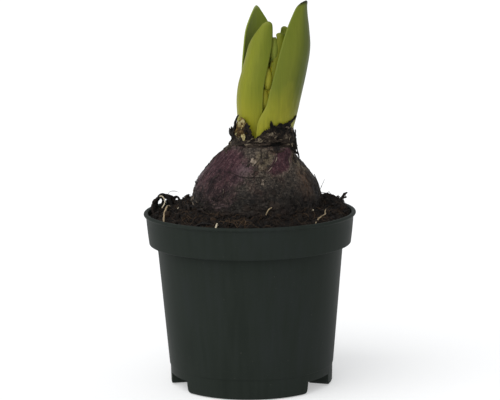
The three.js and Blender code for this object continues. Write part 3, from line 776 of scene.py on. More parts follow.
# how far the margin that lies over its neighbour's is turned and lifted, at one height
def leafLap(leaf, z, across):
    if "lap" not in leaf:
        return 0, 0
    lapTop, lapFoot, lapTurn, lapLift = leaf["lap"]
    low = smoothStep(lapTop, lapFoot, z)
    return (math.radians(lapTurn) * low * smoothStep(0.2, 1, -across),
            lapLift * low * smoothStep(0.3, 0.9, -across))


def makeLeaf(name, material):
    leaf = leaves[name]
    tip = leaf["stations"][-1][0]
    rows, count, margin = leafGrid["rows"], leafGrid["across"], leafGrid["margin"]
    share = np.linspace(0, 1, rows)
    share = (share + np.sin(math.pi / 2 * share)) / 2
    share = np.append(share, [1.0])
    z = leafBaseZ + (tip - leafBaseZ) * share
    read = readStations(leaf["stations"], z)
    ringOut, ringIn = [], []
    across = np.sin(np.linspace(-1, 1, count) * math.pi / 2)
    nearTip = np.clip((tip - z) / leafGrid["tipRound"], 0, 1)
    tipShare = np.sqrt(1 - (1 - nearTip) ** 2)  # the tip is rounded off
    for i in range(rows + 1):
        axisX, reach, facing, halfWidth, bend = read[i][1:]
        halfWidth = max(halfWidth * max(tipShare[i], 0.25), 0.05)
        out = math.radians(facing)
        thick = leaf["thick"] * (1 - 0.45 * smoothStep(0.8, 1.0, share[i]))
        half = (margin + (thick - margin) * (1 - across ** 2)) / 2
        edge = np.clip((np.abs(across) * halfWidth - (halfWidth - margin / 2)) / (margin / 2), 0, 1)
        half = half * np.sqrt(1 - edge ** 2) * max(tipShare[i], 0.2)
        relief = leafRelief(across, z[i], leaf["seed"]) * smoothStep(0, 0.4, 1 - np.abs(across))
        relief = relief * smoothStep(0.2, 1.5, tip - z[i])
        lapTurn, lapLift = leafLap(leaf, z[i], across)
        turn = out + across * halfWidth / bend - lapTurn
        centreX = axisX + (reach - bend) * math.cos(out)
        centreY = (reach - bend) * math.sin(out)
        for ring, radius in ((ringOut, bend + half + relief * 0.6 + lapLift),
                             (ringIn, bend - half - relief * 0.4 + lapLift)):
            ring.append(polar(radius, turn, z[i], centreX, centreY))
    outer, inner = np.array(ringOut), np.array(ringIn)
    ring = np.concatenate([outer, inner[:, ::-1]], axis=1)
    shape = (rows + 1, count)
    data = {"edge": bothFaces(np.abs(across), shape), "side": bothFaces(across, shape),
            "high": bothFaces(share[:, None], shape),
            "inside": np.concatenate([np.zeros(shape), np.ones(shape)], axis=1)}
    batch = newBatch()
    addGrid(batch, ring, wrap=True, caps="strip", data=data)
    piece = finishMesh(name + "_blade", batch, material)
    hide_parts(name)


# yellow-green skin with long veins, a painted shade across its flank, a paler margin and a tip of its own
# colour
def leafSkin(name):
    look = leafColours[name]
    material, node, join = startMaterial(name, 0.42, 0.12, {
        "Subsurface Weight": 0.12, "Subsurface Radius": (0.5, 0.8, 0.15), "Subsurface Scale": 0.0012})
    up, edge, side = layer(node, "high"), layer(node, "edge"), layer(node, "side")
    wander = objectNoise(node, 90, detail=3, stretch=(1, 1, 0.35))
    fine = objectNoise(node, 900, detail=3, stretch=(1, 1, 0.045))
    veins = objectNoise(node, 2300, detail=1, stretch=(1, 1, 0.02))
    base = paintRamp(node, stray(node, up, wander, 0.35), look["base"])
    tipShare = shadeRamp(node, plus(node, up, times(node, edge, 0.012)), (0.973, 0), (0.993, 1))
    base = mixColour(node, tipShare, base, look["tip"])
    streak = shadeRamp(node, fine, (0.3, 0), (0.7, 1))
    base = mixColour(node, times(node, streak, 0.22), base, look["streak"])
    lines = shadeRamp(node, veins, (0.52, 0), (0.62, 1))
    base = mixColour(node, times(node, lines, 0.12), base, look["streak"])
    # painted shade across the leaf from its left edge to its right, weaker towards the leaf's foot
    flank = ramp(node, maths(node, "MULTIPLY_ADD", side, 0.5, 0.5), look["shade"])
    base = tint(node, shadeRamp(node, up, (0.16, 0.35), (0.5, 1)), base, flank)
    rim = shadeRamp(node, edge, (0.93, 0), (0.985, 1))
    base = mixColour(node, times(node, rim, look["margin"]), base, colour(150, 156, 84))
    base = mixColour(node, times(node, layer(node, "inside"), 0.35), base, look["streak"])
    join(base, "Base Color")
    join(shadeRamp(node, fine, (0.3, 0.36), (0.7, 0.52)), "Roughness")
    bump(node, join, plus(node, times(node, veins, 0.6), times(node, fine, 0.5)), 0.35, 0.00015)
    return material


def makeLeaves():
    skins = {name: leafSkin(name) for name in leafColours}
    for name, dress in leafDress.items():
        makeLeaf(name, skins[dress])


# the bulb's sizes, in mm, and the marks on its skin
bulb = {
    "axisX": 2.7,
    "axisY": 1,
    "neckShift": 2.75,
    "neckShiftZ": (91, 103),
    "neckZ": 102.5,
    "cupRadius": 12.9,
    "cupFloorZ": 98,
    "lipRadius": 13.3,
    "lipZ": 102.2,
    "shoulderZ": 101.2,
    "rimRoll": ((101.2, 102.4), (14.9, 14.3)),  # heights, then the radii there
    "profile": ((9, 50.5), (10.6, 51.8), (17.5, 55.6), (23, 60.5), (26.3, 67), (27.2, 73.5), (27.3, 78),
                (26.8, 83), (25.3, 87), (22.4, 91), (19.2, 95.2), (16.6, 98.6), (14.9, 101.2)),
    "columns": 400,
    "plateZ": 50.5,
    "rootCount": 9,
    "rootReach": 15,
    "rootTopZ": 51.5,
    "rootDrop": 28,
    "rootRadius": 0.9,
    "rootSeed": 7,
    "skinRadius": 22,  # turns degrees into mm for the marks
    # outlines of skin, as degrees to the right of the front and heights
    "leftPurple": ((-36, 103), (-60, 102), (-86, 98), (-90, 92), (-88, 86), (-74, 83), (-58, 79.8),
                   (-40, 78), (-28, 79.6), (-21, 84), (-20, 88.5), (-13.6, 90.8), (-7, 93.4), (-13, 96),
                   (-26, 99.5)),
    "rightPurple": ((23.5, 99.6), (21.5, 97.4), (15, 94.6), (12.5, 92.6), (22, 91.4), (33, 91.7),
                    (40.5, 92.9), (48.5, 95.3), (57, 99), (50, 101.8), (30.5, 101.6)),
    # a painted highlight: a lighter lavender patch high on the front
    "lavender": (-12.5, 93, 4.4),
    # painted shadows on the skin where it lies in shade: degrees to the right of the front, height and size
    "shadows": ((-44, 92.6, 3), (-33, 91.4, 2.4), (-22, 90.6, 1.8), (-47, 86.5, 2.6), (-34, 84.5, 2.6),
                (-60, 83, 2.2), (-30, 99.3, 1.8), (76, 81, 4), (60, 77.5, 4), (-62, 75.6, 3.4),
                (-46, 78.2, 3), (-60, 78.6, 2.4), (48, 79.4, 3.4), (36, 77.2, 3), (70, 85.6, 3),
                (-50, 88.5, 2)),
    "tan": ((12, 97.2, 3.6), (3, 95, 2.4), (20, 93.8, 2), (-2, 98.6, 2.4), (66, 95.2, 4.2),
            (74, 91.5, 3.4)),
    # painted sheen: silvery grey patches on the left flank
    "silver": ((-86, 83, 4.2), (-80, 78, 3.4), (-88, 90, 3.6)),
    "chip": (-7, 96.6, 0.8),
    "orange": (58, 90, 4.4),
    "orangeLow": (57, 84, 6.5),
    # a dent by the neck, painted dark as shade
    "hollow": (24.5, 102.2, 3.4),
}
profileCurve = curvePoints(bulb["profile"], 400)


# radius of the bulb before its skin's folds
def bulbRadius(z):
    return np.interp(z, profileCurve[:, 1], profileCurve[:, 0])


# how far the skin is drawn in at the bulb's left and right
def sideTrim(front, z):
    turn = np.radians(front)
    left, right = np.clip(-np.sin(turn), 0, 1) ** 2, np.clip(np.sin(turn), 0, 1) ** 2
    flank = smoothStep(78, 82, z) * smoothStep(104.5, 100.5, z)
    cheek = smoothStep(79, 83, z) * smoothStep(99, 95, z)
    body = smoothStep(74, 78, z) * smoothStep(103, 99, z)
    shoulder = 0.8 * flank - 0.9 * np.exp(-((z - 97.6) / 2.2) ** 2) + 0.7 * np.exp(-((z - 102.6) / 1.4) ** 2)
    return left * shoulder + right * (0.45 * cheek + 1.9 * np.exp(-((z - 97) / 2.7) ** 2)) + 0.2 * body


# where the bulb's axis stands: it leans over to the neck
def bulbAxis(z):
    lean = smoothStep(*bulb["neckShiftZ"], z)
    return bulb["axisX"] + bulb["neckShift"] * lean, bulb["axisY"] * (1 - lean)


# the peat
soil = {
    "edgeZ": 72.1,
    "heapFrom": 27.3,
    "heapHeight": 3.5,
    "heapWidth": 15,
    # small heaps: place, height and spread
    "heaps": ((-27.5, 8.5, 2.6, 4.2), (31.5, 8, 2.6, 5), (39.5, 7, 2.4, 4.8), (-14, 30, 1.2, 7),
              (18, -29, -0.8, 7), (-38, -6, 0.9, 6), (-34, -18, 0.7, 5)),
    "clodHeight": 2.1,
    "clodWidth": 5.6,
    "crumbHeight": 1.1,
    "crumbWidth": 2.7,
    "lumpHeight": 1.1,
    "gritHeight": 0.9,
    "potRadius": 42.55,
    "columns": 420,
    "rings": 96,
    "tableStep": 0.25,
    # the bed below its top, as radii and heights from the pot's floor up
    "bed": ((26, 6.6), (33.6, 6.6), (38.1, 59.7), (41.5, 61.8), (42.4, 70)),
    "underside": (0.05, 12, 26),
    "bulbGap": 0.15,
    # the hole that the bulb stands in
    "holeZ": (70, 66, 60, 55.5, 51.5, 50.2),
    "holeGap": 0.4,
    "holeFloor": (9.4, 4, 0.05),
    # the peat in the pot's feet
    "footInner": 27.3,
    "footOuter": 32.7,
    "footLowZ": 1.5,
    "footHighZ": 6.9,
    "footShy": 6,  # degrees
    # where loose bits may lie
    "spotRim": 41.9,
    "spotBulb": 27.4,
    "crumbRim": 42.3,
    "fibreRim": 42,
    "fibreBulb": 27.8,
}


# the same noise as the solid's heaps use, so that the two tops agree
def waveHash(ix, iy, seed):
    wave = np.sin(ix * 127.1 + iy * 311.7 + seed * 74.7) * 43758.5453
    return wave - np.floor(wave)


def heapNoise(x, y, seed):
    ix, iy = np.floor(x), np.floor(y)
    tx, ty = smoothStep(0, 1, x - ix), smoothStep(0, 1, y - iy)
    near = waveHash(ix, iy, seed) * (1 - tx) + waveHash(ix + 1, iy, seed) * tx
    far = waveHash(ix, iy + 1, seed) * (1 - tx) + waveHash(ix + 1, iy + 1, seed) * tx
    return near * (1 - ty) + far * ty - 0.5


# height of the peat before its fine crumbs
def soilTop(x, y):
    fromBulb = np.hypot(x - bulb["axisX"], y - bulb["axisY"])
    z = soil["edgeZ"] + soil["heapHeight"] * (1 - smoothStep(soil["heapFrom"],
                                                             soil["heapFrom"] + soil["heapWidth"], fromBulb))
    for heapX, heapY, height, spread in soil["heaps"]:
        z = z + height * np.exp(-((x - heapX) ** 2 + (y - heapY) ** 2) / (2 * spread ** 2))
    z = z + soil["clodHeight"] * heapNoise(x / soil["clodWidth"], y / soil["clodWidth"], 11)
    return z + soil["crumbHeight"] * heapNoise(x / soil["crumbWidth"], y / soil["crumbWidth"], 12)


# reads a table of heights between its steps
def readTable(table, x, y):
    values, x0, xStep, y0, yStep = table
    u = np.clip((np.asarray(x, float) - x0) / xStep, 0, values.shape[1] - 1.001)
    v = np.clip((np.asarray(y, float) - y0) / yStep, 0, values.shape[0] - 1.001)
    i, j = u.astype(int), v.astype(int)
    fu, fv = u - i, v - j
    near = values[j, i] * (1 - fu) + values[j, i + 1] * fu
    far = values[j + 1, i] * (1 - fu) + values[j + 1, i + 1] * fu
    return near * (1 - fv) + far * fv


# the peat's top with its crumbs; it sinks a little along the pot's wall
def peatRelief(x, y):
    p = xyz(x, y, 0)
    fromRim = smoothStep(0.2, 3.0, soil["potRadius"] - np.hypot(x, y))
    lumps = softNoise(p, 1.9, 51, 2) * soil["lumpHeight"]
    lumps = lumps + np.abs(softNoise(p, 0.8, 52, 2)) * soil["gritHeight"]
    return soilTop(x, y) + lumps * (0.35 + 0.65 * fromRim) - 0.25 - 1.2 * (1 - fromRim)


tableAt = np.arange(-43.5, 43.6, soil["tableStep"])
peatTable = (peatRelief(*np.meshgrid(tableAt, tableAt)), tableAt[0], soil["tableStep"],
             tableAt[0], soil["tableStep"])


def soilFine(x, y):
    return readTable(peatTable, x, y)


peatColours = {
    "crumbs": ((0.33, 7, 6, 5), (0.5, 17, 14, 12), (0.68, 37, 30, 24)),
    "threads": colour(54, 39, 27),
    "dry": colour(76, 56, 38),
}


# near-black crumbs with rusty threads; tone makes one lump drier
def peatSkin():
    material, node, join = startMaterial("peat", 0.92, 0.2)
    clumps = objectNoise(node, 260, detail=6, rough=0.7)
    grains = objectNoise(node, 1700, detail=4, rough=0.7)
    threads = objectNoise(node, 700, detail=3, stretch=(1, 0.22, 0.6), distort=1.4)
    blend = plus(node, times(node, clumps, 0.55), times(node, grains, 0.45))
    base = paintRamp(node, blend, peatColours["crumbs"])
    rust = shadeRamp(node, threads, (0.56, 0), (0.68, 1))
    base = mixColour(node, times(node, rust, 0.35), base, peatColours["threads"])
    base = mixColour(node, layer(node, "tone"), base, peatColours["dry"])
    join(base, "Base Color")
    bump(node, join, plus(node, grains, times(node, threads, 0.6)), 0.9, 0.0004)
    return material


def makeSoil(skin):
    axisX, axisY = bulb["axisX"], bulb["axisY"]
    turn = fullTurn(soil["columns"])
    cosT, sinT = np.cos(turn), np.sin(turn)
    share = np.linspace(0, 1, soil["rings"])[:, None] ** 0.9
    innerR = bulbRadius(np.array([76.0]))[0] + soil["bulbGap"]
    x = (axisX + innerR * cosT) * (1 - share) + soil["potRadius"] * cosT * share
    y = (axisY + innerR * sinT) * (1 - share) + soil["potRadius"] * sinT * share
    top = xyz(x, y, soilFine(x, y))[::-1]
    wall = np.array([polar(r, turn, z) for r, z in soil["bed"]])
    hole = []
    for z in soil["holeZ"]:
        r = bulbRadius(np.array([float(max(z, bulb["plateZ"]))]))[0] + soil["holeGap"]
        hole.append(polar(r, turn, z, axisX, axisY))
    batch = newBatch()
    addGrid(batch, np.concatenate([wall, top, np.array(hole)]), wrap=True, data={"tone": 0})
    for radii, z, x, y, flip in ((soil["underside"], soil["bed"][0][1], 0, 0, True),
                                 (soil["holeFloor"], soil["holeZ"][-1], axisX, axisY, False)):
        rings = np.array([polar(r, turn, z, x, y) for r in radii])
        addGrid(batch, rings, wrap=True, data={"tone": 0}, flip=flip)
    for index in range(pot["feet"]):
        facing = pot["footFacing"] + index * pot["footPitch"]
        addSector(batch, soil["footInner"], soil["footOuter"], facing, pot["footArc"] - soil["footShy"],
                  soil["footLowZ"], soil["footHighZ"])
    piece = finishMesh("peat_bed", batch, skin, sharp=70)
    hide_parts("soil")


# a rough lump: an icosphere squashed, turned and dented
def lumpTemplate(level):
    ball = bmesh.new()
    bmesh.ops.create_icosphere(ball, subdivisions=level, radius=1.0)
    points = np.array([v.co[:] for v in ball.verts])
    faces = np.array([[v.index for v in f.verts] for f in ball.faces])
    ball.free()
    return points, faces


# one lump, turned at random
def addLump(batch, template, place, size, dice, tone):
    points, faces = template
    turn = np.linalg.qr(np.array([[dice.gauss(0, 1) for _ in range(3)] for _ in range(3)]))[0]
    if np.linalg.det(turn) < 0:
        turn[:, 0] = -turn[:, 0]
    shape = np.array([1.0, dice.uniform(0.55, 0.95), dice.uniform(0.35, 0.8)])
    dent = 1 + 0.75 * softNoise(points * 1.3 + dice.uniform(0, 50), 0.9, 61, 2)
    verts = (points * dent[:, None] * shape * size) @ turn.T + np.array(place)
    base = batch["count"]
    batch["verts"].append(verts)
    batch["faces"].extend((faces + base).tolist())
    batch["count"] += len(verts)
    batch["data"].setdefault("tone", []).append(np.full(len(verts), tone))


# a place on the peat, between the bulb and the pot
def soilSpot(dice):
    while True:
        turn = dice.uniform(0, 2 * math.pi)
        out = soil["spotRim"] * math.sqrt(dice.uniform(0.2, 1))
        x, y = out * math.cos(turn), out * math.sin(turn)
        if math.hypot(x - bulb["axisX"], y - bulb["axisY"]) > soil["spotBulb"]:
            return x, y


crumbs = {
    "seed": 43,
    # how many, their sizes and the fineness of their template
    "peat_clods": (300, (0.7, 1.5), 3),
    "peat_crumbs": (2100, (0.22, 0.65), 2),
}


def makeCrumbs(skin):
    dice = random.Random(crumbs["seed"])
    for name in ("peat_clods", "peat_crumbs"):
        count, sizeRange, level = crumbs[name]
        template = lumpTemplate(level)
        batch = newBatch()
        for _ in range(count):
            x, y = soilSpot(dice)
            size = dice.uniform(*sizeRange) * (1 if dice.random() < 0.8 else 0.7)
            if math.hypot(x, y) + size > soil["crumbRim"]:
                size *= 0.5
            z = float(soilFine(x, y)) + size * 0.12
            addLump(batch, template, (x, y, z), size, dice, nearTone(dice, 0.02, 0.12, 0.0, 0.7))
        finishMesh(name, batch, skin, sharp=40)


# fibres and roots in the peat
fibres = {
    "count": 620,
    "length": (2.5, 9),
    "radius": (0.06, 0.17),
    # short broken bits of pale root, as paths and radii
    "paleBits": ((((-13, -34.2, 72.9), (-13.3, -36.2, 74.2), (-13.5, -38.4, 73.9), (-13.9, -40.6, 73.1)),
                  0.34),
                 (((25.9, -16.5, 75.9), (26.4, -16.9, 76.2)), 0.3),
                 (((-38.6, 7, 78.9), (-37.3, 6.5, 79), (-36.2, 6, 77.2), (-36.5, 4.5, 75.8),
                   (-37.3, 3, 74.6)), 0.26),
                 (((-30.6, -5.4, 75.2), (-30, -4.4, 75.9)), 0.14)),
    # tufts of brown fibre: place, spread, how many, radius, tone
    "nests": ((-22.5, -22, 2.6, 16, (0.06, 0.13), 0.22), (-5.5, -33, 2.6, 24, (0.08, 0.2), 0.5),
              (8, -32, 3, 14, (0.06, 0.13), 0.26), (-30, 2, 3, 14, (0.07, 0.14), 0.26),
              (24, -20, 4, 14, (0.06, 0.13), 0.28)),
    "seed": 47,
    "steps": 9,
    "rings": 14,
    "sides": 5,
}


fibreColours = {
    "deadRoot": (colour(12, 9, 8), colour(44, 32, 24)),
    "peatFibre": (colour(16, 12, 10), colour(104, 80, 56)),
    "paleRoot": (colour(96, 78, 54), colour(176, 156, 124)),
    "bulbFibre": (colour(20, 17, 15), colour(90, 80, 70)),
}


# tone goes from the dark colour to the bright one, and above 1 to pale straw
def fibreSkin(name, rough=0.8):
    material, node, join = startMaterial(name, rough, 0.25)
    tone = layer(node, "tone")
    mottle = objectNoise(node, 1300, detail=3)
    base = mixColour(node, tone, *fibreColours[name])
    base = mixColour(node, maths(node, "SUBTRACT", tone, 1.0), base, colour(214, 202, 176))
    deep = shadeRamp(node, mottle, (0.35, 0.45), (0.65, 1.1))
    join(mixColour(node, 1.0, base, deep, "MULTIPLY"), "Base Color")
    bump(node, join, mottle, 0.5, 0.00015)
    return material


# a fibre that lies on the peat, clear of the pot and the bulb
def addFibre(batch, dice, x, y, length, radius, tone, lift=0.5):
    axisX, axisY, rim, clear = bulb["axisX"], bulb["axisY"], soil["fibreRim"], soil["fibreBulb"]
    heading = dice.uniform(0, 2 * math.pi)
    bend = dice.gauss(0, 0.9)
    steps, rings = fibres["steps"], fibres["rings"]
    path = []
    arch = dice.uniform(0.1, lift) * length * 0.3
    for i in range(steps):
        t = i / (steps - 1)
        turn = heading + bend * t
        px = x + length * (t - 0.5) * math.cos(turn)
        py = y + length * (t - 0.5) * math.sin(turn)
        r = math.hypot(px, py)
        if r > rim:
            px, py = px * rim / r, py * rim / r
        fromBulb = math.hypot(px - axisX, py - axisY)
        if fromBulb < clear:
            px = axisX + (px - axisX) * clear / fromBulb
            py = axisY + (py - axisY) * clear / fromBulb
        wave = dice.uniform(-0.15, 0.15)
        path.append((px, py, float(soilFine(px, py)) + arch * math.sin(math.pi * t) + wave + radius * 0.6))
    taper = radius * (1 - 0.5 * np.linspace(0, 1, steps))
    taper = np.interp(np.linspace(0, 1, rings), np.linspace(0, 1, steps), taper)
    addTube(batch, curvePoints(path, rings), taper, fibres["sides"], data={"tone": tone})


# thick dead roots in the peat: radius and path
darkRoots = (
    (0.85, ((-40, 8, 70.5), (-40.2, 9.5, 75), (-38.3, 10, 78.6), (-35.4, 10.5, 78), (-32.6, 9, 72.5))),
    (0.7, ((-37.2, 13, 70.5), (-37.4, 12.5, 75), (-36.8, 11.5, 78.4), (-33.2, 13, 77.4), (-31.5, 15, 72))),
    (0.6, ((-40.6, 2.5, 70), (-41.6, 4.5, 74.2), (-41.2, 6, 77.4))),
    (0.6, ((-34.5, 15, 72), (-33, 14, 76.4), (-31, 13.5, 77.4), (-29, 13, 73.5))),
    (0.55, ((37.6, 5, 71), (39, 6, 76.8), (40.6, 6.4, 79), (41.9, 6.5, 79.8))),
    (0.5, ((39.2, 6, 76.9), (40.4, 5.4, 77.8), (41.5, 5, 78))),
    (0.42, ((-23, -31, 71.4), (-20, -32.6, 73.6), (-15, -34, 73.4), (-12, -35.5, 71))),
    (0.34, ((31.6, 2, 74), (31, 2.2, 77.4), (29.9, 2.4, 81.2), (28.9, 2.5, 84.6), (27.6, 2.6, 88.4))),
    (0.45, ((31.9, 1, 73.5), (31, 1.4, 76.8), (29.8, 1.8, 80.4), (28.8, 2, 83.5))),
    (0.12, ((29.6, 3, 80.8), (30.6, 3, 83), (31.3, 3, 84.6), (32, 3, 86.2))),
    (0.1, ((-36.4, 14, 74.6), (-34.8, 14.5, 79.3), (-32.2, 14.8, 79.9), (-30.4, 14.6, 79.2))),
    (1.15, ((-38, 12.5, 77), (-36.6, 12.5, 77.9), (-34.8, 12.5, 77.3), (-33, 13, 76.2), (-31.4, 13, 74))),
    (1.35, ((-35, 13, 77), (-34.4, 13, 75.4), (-34, 13, 73), (-34, 13, 70.5))),
    (1.3, ((-33, 14, 75.6), (-30.6, 14, 75), (-28.4, 13, 74.8), (-26, 11, 74.6), (-24.6, 8, 73.6))),
    (0.7, ((-41.2, 6, 71), (-41.6, 7, 74.4), (-40.4, 8, 77), (-39.4, 8.4, 78.2))),
    (0.5, ((-24.6, -7, 73.8), (-24.8, -9, 76.6), (-23.8, -11, 77.2), (-22.8, -12, 74))),
    (0.55, ((-22.5, -12.5, 73.8), (-21.2, -15, 76.4), (-19.2, -17, 76.2), (-18, -18.5, 73.6))),
    (0.5, ((-25.6, -3, 74), (-26.6, -5.6, 77.2), (-25.6, -8.4, 76.6), (-25.4, -10, 73.8))),
    (0.6, ((24, 28, 71), (20, 31, 75.4), (13, 33, 75.2), (8, 34.5, 70.5))),
    (0.6, ((-9, 33, 71), (-14, 34, 76), (-21, 31, 75.8), (-25, 29, 70.5))),
)
# pale roots on the peat: radius, then places with their lift above the peat's top
paleRoots = {
    "pale_root_left": (0.45, ((-35.6, -20.2, 0.4), (-35.8, -13, 1.2), (-34.8, -6, 2.1), (-33.6, 0.5, 3))),
    "pale_root_right": (0.3, ((26.9, -27.6, 0.3), (27.4, -25.9, 0.4), (28.5, -23.6, 0.5), (29.1, -22.7, 0.5),
                              (30.2, -20.7, 0.6), (31, -19.2, 0.9), (31.3, -17.2, 1), (31.4, -14, 0.7),
                              (32.1, -7.5, 0.5))),
    "pale_root_front": (0.22, ((6.6, -27.2, 1), (6.9, -27, 1.6), (7.6, -26.8, 2.5), (8.5, -26.6, 3.1),
                               (9.1, -26.3, 3.4))),
}


# radii of a knobbly root that tapers at its ends
def knobbly(radius, count, seed, taper, depth=0.35):
    at = np.linspace(0, 1, count)
    thick = radius * (1 + depth * softNoise(xyz(at * 9, seed, 0), 1.0, seed) * 2)
    return thick * np.interp(at, *taper)


def makeRoots():
    dark, thread, pale = fibreSkin("deadRoot"), fibreSkin("peatFibre"), fibreSkin("paleRoot", 0.7)
    batch = newBatch()
    for index, (radius, path) in enumerate(darkRoots):
        thick = knobbly(radius, 44, 70 + index, ((0, 0.7, 1), (1, 1, 0.45)))
        addTube(batch, curvePoints(path, 44), thick, 10, data={"tone": 0.1 + 0.2 * (index % 3)})
    finishMesh("dead_roots", batch, dark)
    dice = random.Random(fibres["seed"])
    batch = newBatch()
    for _ in range(fibres["count"]):
        x, y = soilSpot(dice)
        tone = nearTone(dice, 0.1, 0.16)
        addFibre(batch, dice, x, y, dice.uniform(*fibres["length"]), dice.uniform(*fibres["radius"]), tone)
    for x, y, spread, count, radius, tone in fibres["nests"]:
        for _ in range(count):
            addFibre(batch, dice, dice.gauss(x, spread), dice.gauss(y, spread * 1.3), dice.uniform(3, 8),
                     dice.uniform(*radius), nearTone(dice, tone, 0.18, 0.1), 0.9)
    for path, radius in fibres["paleBits"]:
        addTube(batch, curvePoints(path, 12), radius, 8, data={"tone": 1.9})
    finishMesh("peat_fibres", batch, thread)
    for index, (name, (radius, path)) in enumerate(paleRoots.items()):
        points = [(x, y, float(soilTop(x, y)) + lift) for x, y, lift in path]
        thick = knobbly(radius, 50, 90 + index, ((0, 0.1, 0.9, 1), (0.5, 1, 0.9, 0.4)), 0.3)
        batch = newBatch()
        addTube(batch, curvePoints(points, 50), thick, 10, data={"tone": 0.75})
        piece = finishMesh(name + "_thread", batch, pale)
        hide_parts(name)


# signed distance in mm to an outline on the skin, positive inside it
def skinDistance(front, z, outline):
    u = front / 180 * math.pi * bulb["skinRadius"]
    corners = [(a / 180 * math.pi * bulb["skinRadius"], h) for a, h in outline]
    best = np.full(np.shape(u), math.inf)
    inside = np.zeros(np.shape(u), bool)
    for (x1, y1), (x2, y2) in zip(corners, corners[1:] + corners[:1]):
        ex, ey = x2 - x1, y2 - y1
        t = np.clip(((u - x1) * ex + (z - y1) * ey) / (ex * ex + ey * ey), 0, 1)
        best = np.minimum(best, np.hypot(u - x1 - t * ex, z - y1 - t * ey))
        crosses = ((y1 > z) != (y2 > z)) & (u < (x2 - x1) * (z - y1) / (y2 - y1 + tiny) + x1)
        inside ^= crosses
    return np.where(inside, best, -best)


# a soft round mark, given as degrees to the right of the front, height and size
def skinSpot(front, z, spot):
    angle, height, size = spot
    u = (front - angle) / 180 * math.pi * bulb["skinRadius"]
    return np.exp(-(u ** 2 + (z - height) ** 2) / (2 * (size * 0.6) ** 2))


def spotSum(front, z, spots):
    return sum(skinSpot(front, z, spot) for spot in spots)


# points drawn together before a noise, so that the noise is stretched
def squash(points, sideways, up):
    return points * [sideways, sideways, up]


# ragged patches of plum skin, as distances to their edges; the last is how far behind a point is
def plumPatches(front, z, p):
    rag = 2.2 * softNoise(p, 4.0, 21, 3) + 0.9 * softNoise(p, 1.1, 22, 2)
    left = skinDistance(front, z, bulb["leftPurple"]) + rag * 1.3
    right = skinDistance(front, z, bulb["rightPurple"]) + rag * 0.55
    behind = smoothStep(84, 112, np.abs(front) + 30 * softNoise(p, 7, 62, 2))
    back = (softNoise(squash(p, 1, 0.8), 11, 23, 3) * 13 - 0.4) * behind - 6 * (1 - behind)
    back = back - 4 * smoothStep(86, 78, z) + rag * 1.8
    return left, right, back, behind


# masks from 0 to 1 that the skin's paint reads
def skinMasks(front, z, p, patches):
    left, right, back, behind = patches
    purple = np.maximum(np.maximum(smoothStep(-5.5, 5.0, left), smoothStep(-1.1, 0.9, right) * 0.85),
                        smoothStep(-1.6, 1.4, back))
    edge = np.exp(-(right / 0.42) ** 2) * smoothStep(101.5, 99, z)
    edge = np.maximum(edge, 0.5 * np.exp(-(back / 0.35) ** 2) * behind)
    shadow = spotSum(front, z, bulb["shadows"]) * (1 + 1.6 * softNoise(p, 2.4, 56, 2))
    pleated = smoothStep(84, 79.5, z + 2 * softNoise(p, 4, 60, 2))
    pleated = pleated * smoothStep(-6, -32, front) * smoothStep(-120, -98, front)
    return {
        "purple": purple,
        "edge": edge,
        "pleated": pleated,
        "shadow": np.clip(shadow, 0, 1),
        "tan": np.clip(spotSum(front, z, bulb["tan"]), 0, 1),
        "silver": np.clip(spotSum(front, z, bulb["silver"]), 0, 1),
        "lowness": smoothStep(96, 81, z + 3 * softNoise(p, 8, 34, 2)),
        "lavender": skinSpot(front, z, bulb["lavender"]),
        "chip": smoothStep(0.35, 0.6, skinSpot(front, z, bulb["chip"]) + 0.5 * softNoise(p, 0.9, 24)),
        "orange": skinSpot(front, z, bulb["orange"]) + 0.7 * skinSpot(front, z, bulb["orangeLow"]),
        "hollow": skinSpot(front, z, bulb["hollow"]),
        "low": smoothStep(78.4, 74.6, z + 2.4 * softNoise(p, 5, 26, 2)),
    }


# how far each kind of fold stands out, in mm
skinRelief = {
    "dents": 0.75,
    "veins": 0.09,
    "crinkles": 0.12,
    "huskCrinkles": 0.34,
    "huskFuzz": 0.26,
    "pleats": 0.5,
    "neckFolds": 0.75,
    "lowLumps": 0.5,
    "husk": 0.32,
    "edge": 0.22,
    "hollow": 0.9,
}


# how far the skin stands out from the bulb's plain shape
def skinFolds(front, z, p, patches, masks):
    left, right, back = patches[:3]
    relief, purple = skinRelief, masks["purple"]
    brown = 1 - purple
    crease = smoothStep(-0.3, 0.3, np.maximum(right, back))
    inFront = smoothStep(-42, -30, front) * smoothStep(30, 20, front)
    crease = np.maximum(crease, smoothStep(-0.3, 0.3, left) * inFront)
    atNeck = smoothStep(97.5, 100.5, z + 2.5 * softNoise(p, 5, 25, 2))
    veins = np.cos(front * 0.75 + 9 * softNoise(squash(p, 1, 0.35), 9, 27))
    veins += 0.4 * np.cos(front * 1.9 + 12 * softNoise(squash(p, 1, 0.4), 5, 28))
    out = relief["dents"] * softNoise(p, 10, 29, 2) + relief["veins"] * veins * (0.5 + purple)
    out += (relief["huskCrinkles"] * brown + relief["crinkles"]) * softNoise(p, 1.5, 31, 3)
    out += relief["huskFuzz"] * brown * softNoise(p, 0.75, 32, 2)
    # small pleats that run round the left flank near the soil
    pleats = softNoise(squash(p, 0.3, 1) + xyz(0, 0, 1.2 * softNoise(p, 5, 57)), 1.3, 58, 2)
    onFlank = smoothStep(83, 79, z) * smoothStep(-20, -35, front) * smoothStep(-110, -95, front)
    out += relief["pleats"] * pleats * onFlank
    out += relief["neckFolds"] * atNeck * softNoise(squash(p, 0.35, 1), 1.7, 30, 2)
    out += relief["lowLumps"] * masks["low"] * softNoise(p, 2.2, 33, 2)
    out += relief["husk"] * (1 - crease) + relief["edge"] * masks["edge"]
    out -= relief["hollow"] * masks["hollow"]
    fade = smoothStep(52, 60, z) * (1 - smoothStep(101.6, 102.4, z))
    return out * fade - sideTrim(front, z)


